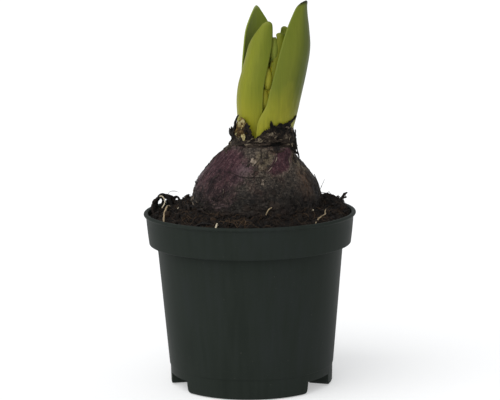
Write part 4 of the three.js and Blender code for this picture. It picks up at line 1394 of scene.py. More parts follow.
# what the skin is like at each point: how far it stands out, and its masks
def bulbSkin(turn, z):
    front = np.degrees((turn + math.pi / 2 + math.pi) % (2 * math.pi) - math.pi)
    p = polar(bulb["skinRadius"], turn, z)
    patches = plumPatches(front, z, p)
    masks = skinMasks(front, z, p, patches)
    return skinFolds(front, z, p, patches, masks), masks


skinSteps = {"front": 0.5, "height": 0.15}
frontSteps, heightSteps = np.arange(-181, 182, skinSteps["front"]), np.arange(72, 102.6, skinSteps["height"])
skinTable = (bulbSkin(*np.meshgrid(np.radians(frontSteps - 90), heightSteps))[0],
             frontSteps[0], skinSteps["front"], heightSteps[0], skinSteps["height"])


# a point on the skin, by degrees to the right of the front and height
def onBulb(front, z, lift=0.0):
    front = (np.asarray(front, float) + 180) % 360 - 180
    turn = np.radians(front - 90)
    axisX, axisY = bulbAxis(z)
    radius = bulbRadius(z) + readTable(skinTable, front, z) + lift
    return polar(radius, turn, z, axisX, axisY)


# colours of the bulb's skin, 0 to 255; a ramp's stops begin with their place
paper = {
    "plumHigh": ((0.38, 34, 18, 24), (0.47, 58, 36, 43), (0.56, 86, 59, 63), (0.67, 124, 100, 99)),
    "plumLow": ((0.4, 12, 7, 8), (0.48, 28, 19, 20), (0.56, 52, 38, 37), (0.66, 96, 78, 70)),
    "plumDeep": colour(176, 150, 158),
    "lavender": (colour(46, 35, 39), colour(112, 96, 97)),
    "paintedSheen": colour(122, 110, 114),
    "plumBits": (colour(136, 110, 110), colour(104, 86, 78)),
    "foldHighlight": colour(100, 82, 84),
    "foldShade": colour(16, 11, 13),
    "huskHigh": ((0.38, 16, 13, 12), (0.48, 46, 40, 36), (0.58, 76, 67, 58), (0.68, 122, 108, 90)),
    "huskLow": ((0.38, 9, 8, 7), (0.5, 30, 27, 25), (0.6, 50, 46, 41), (0.7, 90, 82, 72)),
    "rust": colour(255, 196, 190),
    "moss": colour(196, 208, 190),
    "straw": colour(106, 94, 72),
    "huskBits": (colour(118, 107, 94), colour(74, 68, 60)),
    "pits": colour(150, 146, 146),
    "warm": (colour(40, 35, 32), colour(112, 86, 66)),
    "chip": colour(140, 120, 98),
    "edge": colour(112, 98, 88),
    "darkerLow": (colour(12, 9, 8), colour(46, 37, 32)),
    "shade": colour(120, 104, 116),
    "hollow": colour(12, 10, 10),
}


# the noises that the skin's paints share
def paperNoises(node):
    onRound = node("ShaderNodeCombineXYZ", {"X": layer(node, "dirX"), "Y": layer(node, "dirY"),
                                            "Z": layer(node, "rise")}).outputs[0]
    turned = node("ShaderNodeMapping", {"Vector": onRound, "Scale": (1, 1, 0.2)}).outputs["Vector"]
    streaks = node("ShaderNodeTexNoise", {"Vector": turned, "Scale": 24, "Detail": 5, "Roughness": 0.65,
                                          "Distortion": 0.5})
    noises = {
        "fine": streaks.outputs["Fac"],
        "mottle": objectNoise(node, 520, detail=6, rough=0.8),
        "blots": objectNoise(node, 230, detail=5, rough=0.7),
        "patches": objectNoise(node, 120, detail=5, rough=0.65),
        "clouds": objectNoise(node, 60, detail=3, rough=0.6),
        "specks": objectNoise(node, 1500, detail=3, rough=0.7),
        "bits": objectNoise(node, 1250, detail=2, rough=0.6, distort=0.6),
        "creases": objectNoise(node, 900, detail=4, rough=0.65, stretch=(0.22, 0.22, 1.0), distort=1.2),
        "low": layer(node, "lowness"),
    }
    noises["blend"] = plus(node, times(node, noises["mottle"], 0.65), times(node, noises["specks"], 0.35))
    noises["pale"] = shadeRamp(node, noises["bits"], (0.55, 0), (0.7, 0.6))
    return noises


# the plum paper, streaked along the bulb
def plumPaint(node, noises):
    streaked = plus(node, times(node, noises["blend"], 0.6), times(node, noises["fine"], 0.15))
    streaked = plus(node, streaked, times(node, noises["blots"], 0.25))
    plum = mixColour(node, noises["low"], paintRamp(node, streaked, paper["plumHigh"]),
                     paintRamp(node, streaked, paper["plumLow"]))
    plum = tint(node, shadeRamp(node, noises["clouds"], (0.4, 0), (0.62, 0.75)), plum, paper["plumDeep"])
    # painted highlight in lavender
    plum = mixColour(node, times(node, layer(node, "lavender"), 0.68), plum,
                     mixColour(node, noises["mottle"], *paper["lavender"]))
    # painted sheen, silvery grey, on the left flank
    paintedSheen = times(node, layer(node, "silver"), shadeRamp(node, noises["mottle"], (0.4, 0.2), (0.6, 0.9)))
    plum = mixColour(node, paintedSheen, plum, paper["paintedSheen"])
    pale = times(node, noises["pale"], maths(node, "MULTIPLY_ADD", noises["low"], 0.6, 0.4))
    plum = mixColour(node, pale, plum, mixColour(node, noises["low"], *paper["plumBits"]))
    # painted highlights on the tops of the pleats low on the left, and painted shade in their dips
    for name, stops in (("foldHighlight", ((0.5, 0), (0.62, 0.8))), ("foldShade", ((0.4, 0.8), (0.48, 0)))):
        foldShading = times(node, layer(node, "pleated"), shadeRamp(node, noises["creases"], *stops))
        plum = mixColour(node, foldShading, plum, paper[name])
    return plum


# the dry brown husk between the patches of plum
def huskPaint(node, noises):
    husk = mixColour(node, noises["low"], paintRamp(node, noises["blend"], paper["huskHigh"]),
                     paintRamp(node, noises["blend"], paper["huskLow"]))
    husk = tint(node, shadeRamp(node, noises["patches"], (0.5, 0), (0.64, 0.55)), husk, paper["rust"])
    husk = tint(node, shadeRamp(node, noises["clouds"], (0.34, 0.6), (0.5, 0)), husk, paper["moss"])
    straw = shadeRamp(node, noises["mottle"], (0.42, 0), (0.62, 0.8))
    husk = mixColour(node, times(node, layer(node, "tan"), straw), husk, paper["straw"])
    return mixColour(node, noises["pale"], husk, mixColour(node, noises["low"], *paper["huskBits"]))


# the marks that lie over both: pits, warm speckles, a chip, pale edges, skin darker near the soil, painted
# shadows and the painted shade of the hollow
def paperMarks(node, noises, base):
    base = tint(node, shadeRamp(node, noises["bits"], (0.33, 0.6), (0.46, 0)), base, paper["pits"])
    warm = shadeRamp(node, times(node, layer(node, "orange"), noises["mottle"]), (0.12, 0), (0.5, 0.6))
    base = mixColour(node, warm, base, mixColour(node, noises["blots"], *paper["warm"]))
    base = mixColour(node, layer(node, "chip"), base, paper["chip"])
    pale = times(node, layer(node, "edge"), shadeRamp(node, noises["mottle"], (0.42, 0), (0.62, 0.7)))
    base = mixColour(node, pale, base, paper["edge"])
    # the skin darker near the soil
    darkerLow = times(node, layer(node, "low"), 0.75)
    base = mixColour(node, darkerLow, base, mixColour(node, noises["mottle"], *paper["darkerLow"]))
    # painted shadow spots darken the skin
    paintedShadow = times(node, layer(node, "shadow"), shadeRamp(node, noises["blots"], (0.4, 1), (0.62, 0.35)))
    base = tint(node, paintedShadow, base, paper["shade"])
    # painted shade darkens the hollow by the neck
    hollow = shadeRamp(node, layer(node, "hollow"), (0.35, 0), (0.6, 0.85))
    return mixColour(node, hollow, base, paper["hollow"])


def bulbPaper():
    material, node, join = startMaterial("bulbTunic", 0.7, 0.14)
    noises = paperNoises(node)
    ragged = stray(node, layer(node, "purple"), noises["patches"], 1.6)
    ragged = stray(node, ragged, noises["mottle"], 0.8)
    cover = shadeRamp(node, ragged, (0.2, 0), (0.8, 1))
    base = mixColour(node, cover, huskPaint(node, noises), plumPaint(node, noises))
    join(paperMarks(node, noises, base), "Base Color")
    bump(node, join, plus(node, times(node, noises["specks"], 0.7), times(node, noises["fine"], 0.5)), 0.85,
         0.00035)
    return material


# roots under the bulb's plate, inside the peat
def addPlateRoots(batch):
    dice = random.Random(bulb["rootSeed"])
    for i in range(bulb["rootCount"]):
        turn = 2 * math.pi * (i + dice.random() * 0.5) / bulb["rootCount"]
        path = []
        for out, down in ((0.35, 0.0), (0.5, 0.18), (0.85, 0.6), (1, 1)):
            reach = bulb["rootReach"] * out
            path.append((bulb["axisX"] + reach * math.cos(turn), bulb["axisY"] + reach * math.sin(turn),
                         bulb["rootTopZ"] - bulb["rootDrop"] * down))
        addTube(batch, curvePoints(path, 20), bulb["rootRadius"], 7)


def makeBulb(skin):
    low = np.linspace(50.6, 70, 8)
    main = np.linspace(70.3, bulb["shoulderZ"], 128)
    z = np.concatenate([low, main, [101.7, 102.1, 102.4]])
    turn = fullTurn(bulb["columns"])
    turnGrid, zGrid = np.meshgrid(turn, z)
    out, masks = bulbSkin(turnGrid, zGrid)
    radius = np.where(zGrid > bulb["shoulderZ"], np.interp(zGrid, *bulb["rimRoll"]), bulbRadius(zGrid)) + out
    axisX, axisY = bulbAxis(zGrid)
    rows = [polar(radius, turnGrid, zGrid, axisX, axisY)]
    # the lip and the cup that the leaves stand in
    for r, h in ((bulb["lipRadius"], bulb["neckZ"]), (bulb["cupRadius"], bulb["lipZ"]),
                 (bulb["cupRadius"], bulb["cupFloorZ"]), (4.0, bulb["cupFloorZ"])):
        cupX, cupY = bulbAxis(np.array(h))
        rows.append(polar(r, turn, h, cupX, cupY)[None])
    grid = np.concatenate(rows)
    extra = grid.shape[0] - len(z)
    data = {key: np.vstack([value, np.repeat(value[-1:], extra, 0)]) for key, value in masks.items()}
    turnAll = np.broadcast_to(turn, grid.shape[:2])
    data["dirX"], data["dirY"], data["rise"] = np.cos(turnAll), np.sin(turnAll), grid[..., 2] / 27
    batch = newBatch()
    addGrid(batch, grid, wrap=True, caps="fan", data=data)
    addPlateRoots(batch)
    piece = finishMesh("bulb_body", batch, skin)
    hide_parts("bulb")


# colours at tone 0, a half and 1
flakeColours = {
    "tornTunic": ((0, 15, 13, 12), (0.5, 52, 45, 40), (1, 150, 136, 120)),
    "deadScale": ((0, 8, 7, 6), (0.5, 48, 40, 33), (1, 134, 122, 102)),
    "creamScale": ((0, 38, 24, 16), (0.5, 108, 88, 50), (1, 166, 160, 116)),
}


def flakeSkin(name):
    material, node, join = startMaterial(name, 0.75, 0.1)
    mottle = objectNoise(node, 700, detail=4, rough=0.7)
    join(paintRamp(node, stray(node, layer(node, "tone"), mottle, 0.7), flakeColours[name]), "Base Color")
    bump(node, join, mottle, 0.6, 0.0002)
    return material


# a torn sheet of skin that lies on the bulb and lifts towards one edge
def addSkinFlake(batch, front, z, width, height, lift, tone, dice, lean=0.0):
    shift = dice.uniform(0, 99)
    v, u = sheetSteps(torn["rows"], torn["cols"])
    ragU = 1 + 0.9 * softNoise(xyz(v * 4 + shift, u, 0), 1.0, 35, 2)
    ragV = 1 + 0.9 * softNoise(xyz(u * 2.2 + shift + 0 * v, 7, 0), 0.8, 36, 2)
    frontAt = front + np.degrees((u * width / 2 * ragU * (1 - 0.35 * v) + lean * v * height) / torn["radius"])
    heightAt = z + (v - 0.3) * height * ragV
    addSheet(batch, onBulb(frontAt, heightAt, 0.1 + lift * v ** 1.6 + 0.08 * np.abs(u)), 0.12,
             data={"tone": tone})


# a thin curled edge that follows spots on the skin
def addCurl(batch, spots, width, lift, tone):
    steps = torn["curlSteps"]
    line = curvePoints(spots, steps)
    seed = int(abs(spots[0][0]) * 10)
    wave = softNoise(xyz(np.linspace(0, 9, steps), 0, seed), 1.0, 37, 2)[:, None]
    nearEnd = np.sin(math.pi * np.linspace(0, 1, steps))[:, None].clip(0, 1) ** 0.5
    widthAt = width * (0.5 + 0.5 * nearEnd) * (1 + 1.2 * wave)
    v = np.linspace(0, 1, 6)[None, :]
    grid = onBulb(line[:, :1] + np.degrees(widthAt * np.sin(v * 2.0) / torn["radius"]), line[:, 1:] + 0 * v,
                  0.05 + lift * (1 - np.cos(v * 2.3)) * (0.4 + nearEnd + wave))
    addSheet(batch, grid, 0.14, data={"tone": np.clip(tone + 0.5 * wave + 0 * v, 0, 1)})


torn = {
    "seed": 53,
    "rows": 9,
    "cols": 8,
    "curlSteps": 26,
    "radius": 24,  # turns degrees into mm
    "brownFlakes": 90,
    "brownZ": (76, 99),
    "brownSize": (0.7, 2.6),
    # curled edges: width, lift, tone, then spots as degrees to the right of the front and heights
    "curls": (
        (0.17, 0.16, 0.62, ((23.9, 99.6), (24.3, 98.2), (22.4, 96.6), (19.5, 95.2), (15.7, 93.8),
            (12.7, 92.6))),
        (0.2, 0.18, 0.68, ((50, 97.8), (48.4, 96.3), (46.1, 94.9), (41.5, 93.2), (36.6, 92.1),
            (32, 91.7))),
        (0.17, 0.25, 0.6, ((-32, 86.4), (-30.6, 85.2), (-31.4, 83.4))),
        (0.7, 0.12, 0.22, ((-37.6, 92.8), (-27.7, 92.2), (-20, 91.2), (-12.6, 90.7), (0.1, 90.9),
            (9, 91.2))),
        (0.3, 0.14, 0.24, ((-72, 80.6), (-62, 79.9), (-52, 80.6), (-44, 80.2))),
        (0.4, 0.18, 0.3, ((-72, 78.4), (-60, 77.6), (-50, 78.6), (-38, 77.8), (-28, 78.4))),
        (0.4, 0.2, 0.38, ((-80, 77.2), (-66, 76.2), (-55, 77), (-44, 76.4))),
        (0.35, 0.14, 0.3, ((-64, 81.8), (-54, 81), (-46, 81.6), (-36, 80.9))),
        (0.4, 0.2, 0.28, ((-58, 75.8), (-46, 75.2), (-36, 76.2), (-22, 75.6))),
        (0.3, 0.16, 0.28, ((-20, 78.2), (-8, 78.8), (4, 78), (18, 78.6))),
    ),
    # torn flakes: degrees to the right of the front, height, width, length, lift, tone
    "flakes": (
        (-84, 82, 1.2, 2.6, 0.25, 0.6), (-79, 79.6, 1.8, 1.4, 0.35, 0.72),
        (-73, 77.6, 1.9, 1.2, 0.4, 0.76), (-69, 76.2, 1.6, 1, 0.4, 0.7),
        (-85, 78.8, 1.6, 1.6, 0.3, 0.66), (-66, 79, 1.6, 0.8, 0.3, 0.6),
        (-9.8, 97, 1, 1.7, 0.25, 0.95), (-7.6, 96.6, 1.1, 1.3, 0.2, 0.8),
        (-4.4, 96.2, 1.3, 1.2, 0.25, 0.85), (-6, 95.4, 1.2, 1, 0.2, 0.6), (-12, 95.6, 1, 0.9, 0.2, 0.5),
        (3, 96.8, 2, 2, 0.2, 0.5), (-1, 93.6, 2.2, 1.6, 0.2, 0.45), (6.6, 89.4, 1, 0.9, 0.2, 0.66),
        (6.4, 88.2, 1, 1, 0.2, 0.72), (72, 89.5, 2.4, 2.4, 0.15, 0.42),
    ),
}


def makeTornSkin(skin):
    dice = random.Random(torn["seed"])
    batch = newBatch()
    for width, lift, tone, spots in torn["curls"]:
        addCurl(batch, spots, width, lift, tone)
    for front, z, width, height, lift, tone in torn["flakes"]:
        addSkinFlake(batch, front, z, width, height, lift, tone, dice)
    for _ in range(torn["brownFlakes"]):
        front = dice.uniform(-180, 180)
        z = dice.uniform(*torn["brownZ"])
        size = dice.uniform(*torn["brownSize"])
        if -92 < front < -14 or (12 < front < 54 and z > 91):
            continue
        addSkinFlake(batch, front, z, size, size * dice.uniform(0.6, 1.4), dice.uniform(0.1, 0.5),
                     nearTone(dice, 0.3, 0.16, 0.05, 0.8), dice, dice.uniform(-0.4, 0.4))
    finishMesh("torn_tunic", batch, skin)


fuzz = {
    "seed": 59,
    "count": 1500,
    "length": (1, 4.2),
    "radius": (0.035, 0.08),
    "lowZ": 74.5,
    "highZ": 96.5,
    "skinRadius": 25,
    "steps": 5,
    "sides": 4,
}


# where the fibres lie: fewer on the left patch of plum, none on the right one
def fuzzSpots(dice):
    spots = []
    while len(spots) < fuzz["count"]:
        front = dice.uniform(-180, 180)
        z = fuzz["lowZ"] + (fuzz["highZ"] - fuzz["lowZ"]) * dice.random() ** 1.25
        if -75 < front < -20 and 82 < z and dice.random() < 0.75:
            continue
        if 14 < front < 50 and 92 < z < 100:
            continue
        spots.append((front, z))
    return spots


# fine brown fibres that lie on the bulb
def makeFuzz(skin):
    dice = random.Random(fuzz["seed"])
    batch = newBatch()
    steps = fuzz["steps"]
    for front, z in fuzzSpots(dice):
        length = dice.uniform(*fuzz["length"])
        heading = dice.uniform(0, math.pi)
        bend = dice.gauss(0, 1.0)
        path = []
        frontAt, heightAt = front, z
        for i in range(steps):
            path.append((frontAt, heightAt))
            turn = heading + bend * i / steps
            frontAt += math.degrees(length / steps * math.cos(turn) / fuzz["skinRadius"])
            heightAt += length / steps * math.sin(turn)
        spots = np.array(path)
        rise = 0.05 + dice.uniform(0.05, 0.35) * np.sin(np.linspace(0, math.pi, steps))
        points = onBulb(spots[:, 0], spots[:, 1], rise)
        thick = dice.uniform(*fuzz["radius"])
        addTube(batch, points, thick, fuzz["sides"], data={"tone": nearTone(dice, 0.34, 0.26)})
    finishMesh("bulb_fibres", batch, skin)


# the dead scales round the neck
neck = {
    "axisX": 5.45,
    "lean": 0.12,
    "leanFromZ": 102.9,
    "radius": 14,
    "hull": ((101.2, 102.5, 104.5, 106.5), (14.95, 14.6, 13.9, 12)),  # heights, then the radii there
    "wall": 0.45,
    "seed": 67,
    # height of the ring's torn top, by degrees to the right of the front
    "top": ((-180, 109), (-150, 110), (-120, 109.2), (-100, 107.6), (-80, 107.4), (-62, 107.8),
            (-45, 107.6), (-30, 107.6), (-20, 106.6), (-13, 105.6), (-7, 106), (0, 107.6), (6, 109.2),
            (14, 110.2), (30, 110.6), (56, 110.4), (64, 107.8), (100, 107.6), (120, 108.5), (150, 110),
            (180, 109)),
    # and the height where its wrinkled skin passes into the bulb's
    "foot": ((-180, 99.4), (-110, 99.8), (-95, 102.6), (-30, 103), (-16, 102.2), (6, 101.6), (14, 100.6),
             (38, 100.4), (50, 101.6), (75, 100.2), (110, 99.4), (180, 99.4)),
    "columns": 300,
    "rows": 26,
    "topDrop": 1.6,
    "scales": 74,
    "scaleRows": 13,
    "scaleCols": 9,
    "scaleThick": 0.28,
    "scaleTurn": 137.5,
    "brownScraps": 16,
    "wrinkles": 48,
    "creamScraps": 26,
}


# reads a height round the neck from the rows of a table
def roundNeck(rows, front):
    return np.interp(front, [row[0] for row in rows], [row[1] for row in rows])


# how far the neck is drawn in at its left, just under the scales
def neckIn(front, z):
    side = smoothStep(-20, -55, front) * smoothStep(-165, -130, front)
    return 2.0 * side * np.exp(-((z - 104.3) / 1.25) ** 2)


# how far out the neck's skin stands where the bulb passes into the scales
def neckHull(z, front):
    topZ = bulb["shoulderZ"]
    full = np.where(z < topZ, bulbRadius(np.minimum(z, topZ)) + 0.2, np.interp(z, *neck["hull"]))
    return full - sideTrim(front, z) - neckIn(front, z)


# where the neck's axis stands, straight on from the bulb's
def neckAxis(z):
    fromZ = neck["leanFromZ"]
    axisX, axisY = bulbAxis(np.minimum(z, fromZ))
    return np.where(z < fromZ, axisX, neck["axisX"] + (z - fromZ) * neck["lean"]), axisY


# one dry scale: rows run from its foot to its torn tip
def addScale(batch, front, footZ, tipZ, half, flare, tone, dice, reach, ragged):
    shift = dice.uniform(0, 99)
    v, u = sheetSteps(neck["scaleRows"], neck["scaleCols"])
    tear = softNoise(xyz(u[0] * 2.6 + shift, 3, 0), 1.0, 38, 3)
    tear = (tear - tear.max())[None, :]
    side = softNoise(xyz(v * 5 + shift, np.where(u < 0, 0.0, 9.0), 0), 1.0, 39, 2)
    span = half * (1 - 0.55 * v ** 1.4) * (1 + 0.7 * side * np.abs(u))
    z = footZ + (tipZ - footZ) * v * (1 + ragged * 1.3 * tear * v ** 0.7)
    crumple = softNoise(xyz(u * 2 + shift + 0 * v, v * 5, 0), 1.0, 40, 2)
    radius = np.maximum(reach - neckIn(front, z), neckHull(z, front) + 0.1 * np.cos(u * 2))
    radius = radius + flare * v ** 1.5 + 0.75 * crumple * (0.25 + v)
    turn = math.radians(front - 90) + u * span / radius
    x = neck["axisX"] + (z - neck["leanFromZ"]) * neck["lean"]
    tones = np.clip(tone + 0.5 * crumple + 0.12 * v, 0, 1)
    addSheet(batch, polar(radius, turn, z, x), neck["scaleThick"], data={"tone": tones})


# a torn ribbon along stations of (degrees right of the front, height, reach, half width)
def addRibbon(batch, stations, tone, dice, thick=0.26, rough=0.5, crumple=0.3, rows=22, cols=7):
    ring, topZ = neck["radius"], bulb["shoulderZ"]
    line = curvePoints(stations, rows)
    front, z, reach, half = line[:, 0], line[:, 1], line[:, 2], np.maximum(line[:, 3], 0.04)
    along = np.stack([np.gradient(np.radians(front) * ring), np.gradient(z)], axis=1)
    along /= np.linalg.norm(along, axis=1)[:, None] + tiny
    v, u = sheetSteps(rows, cols)
    shift = dice.uniform(0, 99)
    length = float(np.sum(np.hypot(*np.diff(line[:, :2], axis=0).T)) / 6)
    v = v * max(1.0, length)
    side = softNoise(xyz(v * 3 + shift, np.where(u < 0, 0.0, 9.0), 0), 0.6, 45, 3)
    span = u * half[:, None] * (1 + rough * (side * 1.8 - 0.1))
    arcAt = np.radians(front)[:, None] * ring - span * along[:, 1:2]
    height = z[:, None] + span * along[:, 0:1]
    dent = softNoise(xyz(u * 1.5 + shift + 0 * v, v * 3, 0), 0.8, 46, 3)
    frontAt = np.degrees(arcAt / ring)
    onSkin = bulbRadius(np.minimum(height, topZ)) + readTable(skinTable, frontAt, height) + 0.15
    radius = np.maximum(reach[:, None] - neckIn(frontAt, height),
                        np.where(height < topZ, onSkin, neckHull(height, frontAt))) + crumple * dent
    turn = np.radians(frontAt - 90)
    x, y = neckAxis(height)
    tones = np.clip(tone + 0.55 * dent, 0, 1)
    addSheet(batch, polar(radius, turn, height, x, y), thick, data={"tone": tones})


# dark ribbons of the collar: tone, raggedness, then the ribbon's stations
frontTorn = (
    (0.03, 0.15, ((-67, 107, 13.8, 0.7), (-64, 109.2, 13.8, 0.8), (-62.5, 111.2, 13.8, 0.8),
        (-60.5, 113.2, 13.7, 0.65), (-55, 115.2, 13.6, 0.15))),
    (0.02, 0.6, ((-50, 104.9, 13.4, 0.8), (-62, 105.9, 13.7, 1.2), (-75, 107.1, 14.1, 1.4),
        (-86, 107.8, 14.3, 0.9), (-97, 108.2, 14.2, 0.3))),
    (0.02, 0.5, ((-58, 106.6, 13.2, 1.1), (-70, 107.8, 13.4, 1.2), (-84, 108.8, 13.6, 0.7),
        (-93, 109.2, 13.6, 0.2))),
    (0.02, 0.3, ((-68, 107, 13.5, 0.7), (-72, 105.9, 13.4, 0.5), (-70, 105.2, 13.2, 0.15))),
    (0.02, 0.3, ((-60, 106.6, 13.6, 0.6), (-65, 105.4, 13.9, 0.4), (-67, 104.9, 14, 0.15))),
    (0.03, 0.5, ((-64, 106.9, 13.3, 1), (-52, 105.9, 13.5, 1.2), (-42, 105.2, 13.7, 1),
        (-34, 105, 13.8, 0.7), (-25, 106.2, 13.8, 0.8), (-16, 106.5, 13.7, 0.3))),
    (0.08, 0.6, ((-58, 108.4, 13.1, 0.8), (-50, 107.4, 13.2, 1.1), (-40, 106.9, 13.3, 1),
        (-28, 107, 13.3, 0.9), (-20, 106.9, 13.3, 0.4))),
    (0.02, 0.55, ((-26, 107.9, 13.9, 0.4), (-27.5, 109.2, 14.1, 1.1), (-30, 110.8, 14.2, 1.35),
        (-32.5, 112.2, 14, 0.6))),
    (0.1, 0.6, ((-24, 106.8, 13.9, 0.3), (-22.5, 108.2, 14, 0.45), (-24.5, 109.8, 13.9, 0.2))),
    (0.3, 0.5, ((-36, 110.6, 14.2, 0.1), (-34, 109.2, 14.3, 0.45), (-33, 108, 14.2, 0.15))),
    (0.55, 0.3, ((-28, 104, 14.2, 0.12), (-23, 104.9, 14.3, 0.26), (-17, 106.1, 14.1, 0.12))),
    (0.7, 0.5, ((-8.5, 106, 14.1, 0.2), (-5.5, 105.8, 14.2, 0.4), (-3, 105.6, 14.1, 0.2))),
    (0.72, 0.5, ((-6, 104.4, 14.3, 0.15), (-3, 104.8, 14.4, 0.38), (0, 105.1, 14.2, 0.2))),
    (0.14, 0.6, ((-12, 105.4, 13.5, 0.5), (-7, 106.2, 13.7, 0.6), (-2, 107.6, 13.8, 0.7),
        (2, 108.3, 13.9, 0.7), (7, 109.2, 13.9, 0.7), (14, 109.9, 13.9, 0.6))),
    (0.03, 0.25, ((13.5, 108.6, 13.8, 1), (13, 110.4, 13.9, 0.9), (11.6, 112.1, 13.9, 0.5),
        (10.4, 113.3, 13.8, 0.1))),
    (0.03, 0.5, ((11, 109.5, 13.5, 0.9), (22, 110, 13.6, 1.4), (36, 110, 13.6, 1.5), (48, 110.3, 13.6, 1.4),
        (56, 110.8, 13.5, 0.8))),
    (0.04, 0.6, ((8, 107.6, 13.8, 0.9), (25, 108.2, 13.9, 1.2), (40, 108.2, 13.9, 1.3),
        (55, 108.3, 13.8, 1.2), (66, 107.6, 13.8, 0.8))),
    (0.02, 0.3, ((44, 111, 13.6, 0.9), (54, 112, 13.6, 0.75), (61, 112.9, 13.7, 0.5),
        (67, 113.6, 13.8, 0.7), (72, 114, 13.8, 0.5))),
    (0.06, 0.5, ((14, 106.6, 13.8, 0.8), (30, 106.4, 13.9, 1.1), (46, 106.4, 13.9, 1.1),
        (62, 106.2, 13.9, 1.1), (74, 105.8, 13.9, 0.8))),
    (0.6, 0.4, ((40, 110.2, 14.1, 0.35), (44, 110, 14.2, 0.45), (48, 109.6, 14.1, 0.3))),
    (0.5, 0.4, ((55, 110, 13.9, 0.3), (57, 109, 14, 0.45), (58, 107.8, 14, 0.2))),
    (0.02, 0.18, ((76, 108.3, 13.8, 0.4), (76, 107, 14, 0.95), (76.5, 105, 14.2, 1.15),
        (76.5, 102.5, 14.8, 1.25), (73.5, 100.5, 15.6, 1.2), (70, 98.6, 17, 1), (67, 96.8, 18.4, 0.5))),
    (0.02, 0.3, ((61, 108, 13.9, 0.6), (58, 106, 14, 0.6), (55, 103.6, 14.4, 0.55), (54, 101.8, 15.2, 0.5),
        (60, 100, 16.2, 0.5), (66, 98.6, 17.2, 0.4))),
    (0.03, 0.4, ((68, 107.6, 13.7, 0.7), (67, 105, 14, 0.8), (66, 102.6, 14.6, 0.7),
        (66, 100.4, 15.6, 0.3))),
    (0.9, 0.2, ((56.5, 102.4, 14.9, 0.2), (57, 101.4, 15.1, 0.3), (59, 100.2, 15.6, 0.15))),
    (0.5, 0.3, ((53, 106, 14.2, 0.15), (51.5, 105, 14.3, 0.3), (50.5, 104, 14.4, 0.15))),
    (0.3, 0.5, ((6, 103.8, 14.1, 0.2), (16, 104.9, 14.3, 0.4), (27, 104.7, 14.3, 0.4),
        (40, 104.6, 14.2, 0.2))),
    (0.3, 0.7, ((12, 101.2, 14.9, 0.15), (20, 100.5, 15.3, 0.3), (30, 100.4, 15.3, 0.3),
        (39, 101.1, 15, 0.15))),
)


# ribbons of the cream scale: tone, what differs from a plain ribbon, then the ribbon's stations
creamTorn = (
    (0.3, {"thick": 0.4, "rough": 0.4, "crumple": 0.55, "rows": 40, "cols": 19}, ((-49, 103.6, 12.9, 2),
        (-48, 107.2, 13, 2.6), (-46.5, 110.3, 13.1, 2.9), (-44.5, 112.6, 13.1, 2.3),
        (-42.5, 113.6, 13, 0.9))),
    (0.62, {"thick": 0.35, "rough": 0.45, "crumple": 0.36, "rows": 26, "cols": 15}, ((-46, 110, 13.6, 0.9),
        (-45.2, 111.2, 13.7, 1.7), (-43.8, 112.5, 13.6, 1.7), (-42.6, 113.8, 13.4, 0.6))),
    (0.08, {"thick": 0.3, "rough": 0.8, "crumple": 0.4}, ((-49, 108.9, 14, 0.3), (-45, 108.9, 14.3, 0.85),
        (-40, 108.8, 14.5, 0.85), (-35.5, 109.3, 14.4, 0.3))),
    (0.3, {"thick": 0.35, "rough": 0.5, "crumple": 0.45}, ((-57, 107.6, 13.2, 0.8), (-55, 109.6, 13.3, 1.2),
        (-53, 111.6, 13.3, 0.9), (-52, 113, 13.2, 0.3))),
    (0.85, {"rough": 0.5}, ((-40.5, 109.4, 13.3, 0.6), (-42, 111.4, 13.4, 1), (-43, 113, 13.4, 0.6))),
    (0.12, {"thick": 0.3, "rough": 0.6, "crumple": 0.5}, ((-50, 105.4, 13.5, 0.3), (-49, 107.4, 13.7, 0.9),
        (-51, 109.2, 13.6, 0.7), (-50, 110.6, 13.5, 0.2))),
    (0.2, {"rough": 0.6}, ((-40, 106.8, 13.6, 0.2), (-38.5, 108.2, 13.8, 0.6), (-40, 109.4, 13.7, 0.3))),
    (0.74, {"thick": 0.35, "rough": 0.35, "rows": 18, "cols": 9}, ((-37.2, 107.5, 14.1, 0.9),
        (-35.8, 106.6, 14.3, 1.05), (-34.4, 105.5, 14.4, 0.75), (-33.6, 104.8, 14.4, 0.25))),
)


# crinkled brown scraps right of the leaves' foot
def addBrownScraps(batch, dice):
    for _ in range(neck["brownScraps"]):
        front, z = dice.uniform(-10, 26), dice.uniform(104.6, 107.8)
        z = min(z, 105.4 + max(0.0, front + 4) * 0.3)
        reachOut = dice.uniform(3, 7)
        path = ((front - reachOut, z - dice.uniform(-0.5, 1), 13.8, 0.2),
                (front, z, 14.0, dice.uniform(0.35, 0.7)),
                (front + reachOut, z + dice.uniform(-0.4, 0.8), 13.8, 0.2))
        addRibbon(batch, path, dice.uniform(0.15, 0.6), dice)


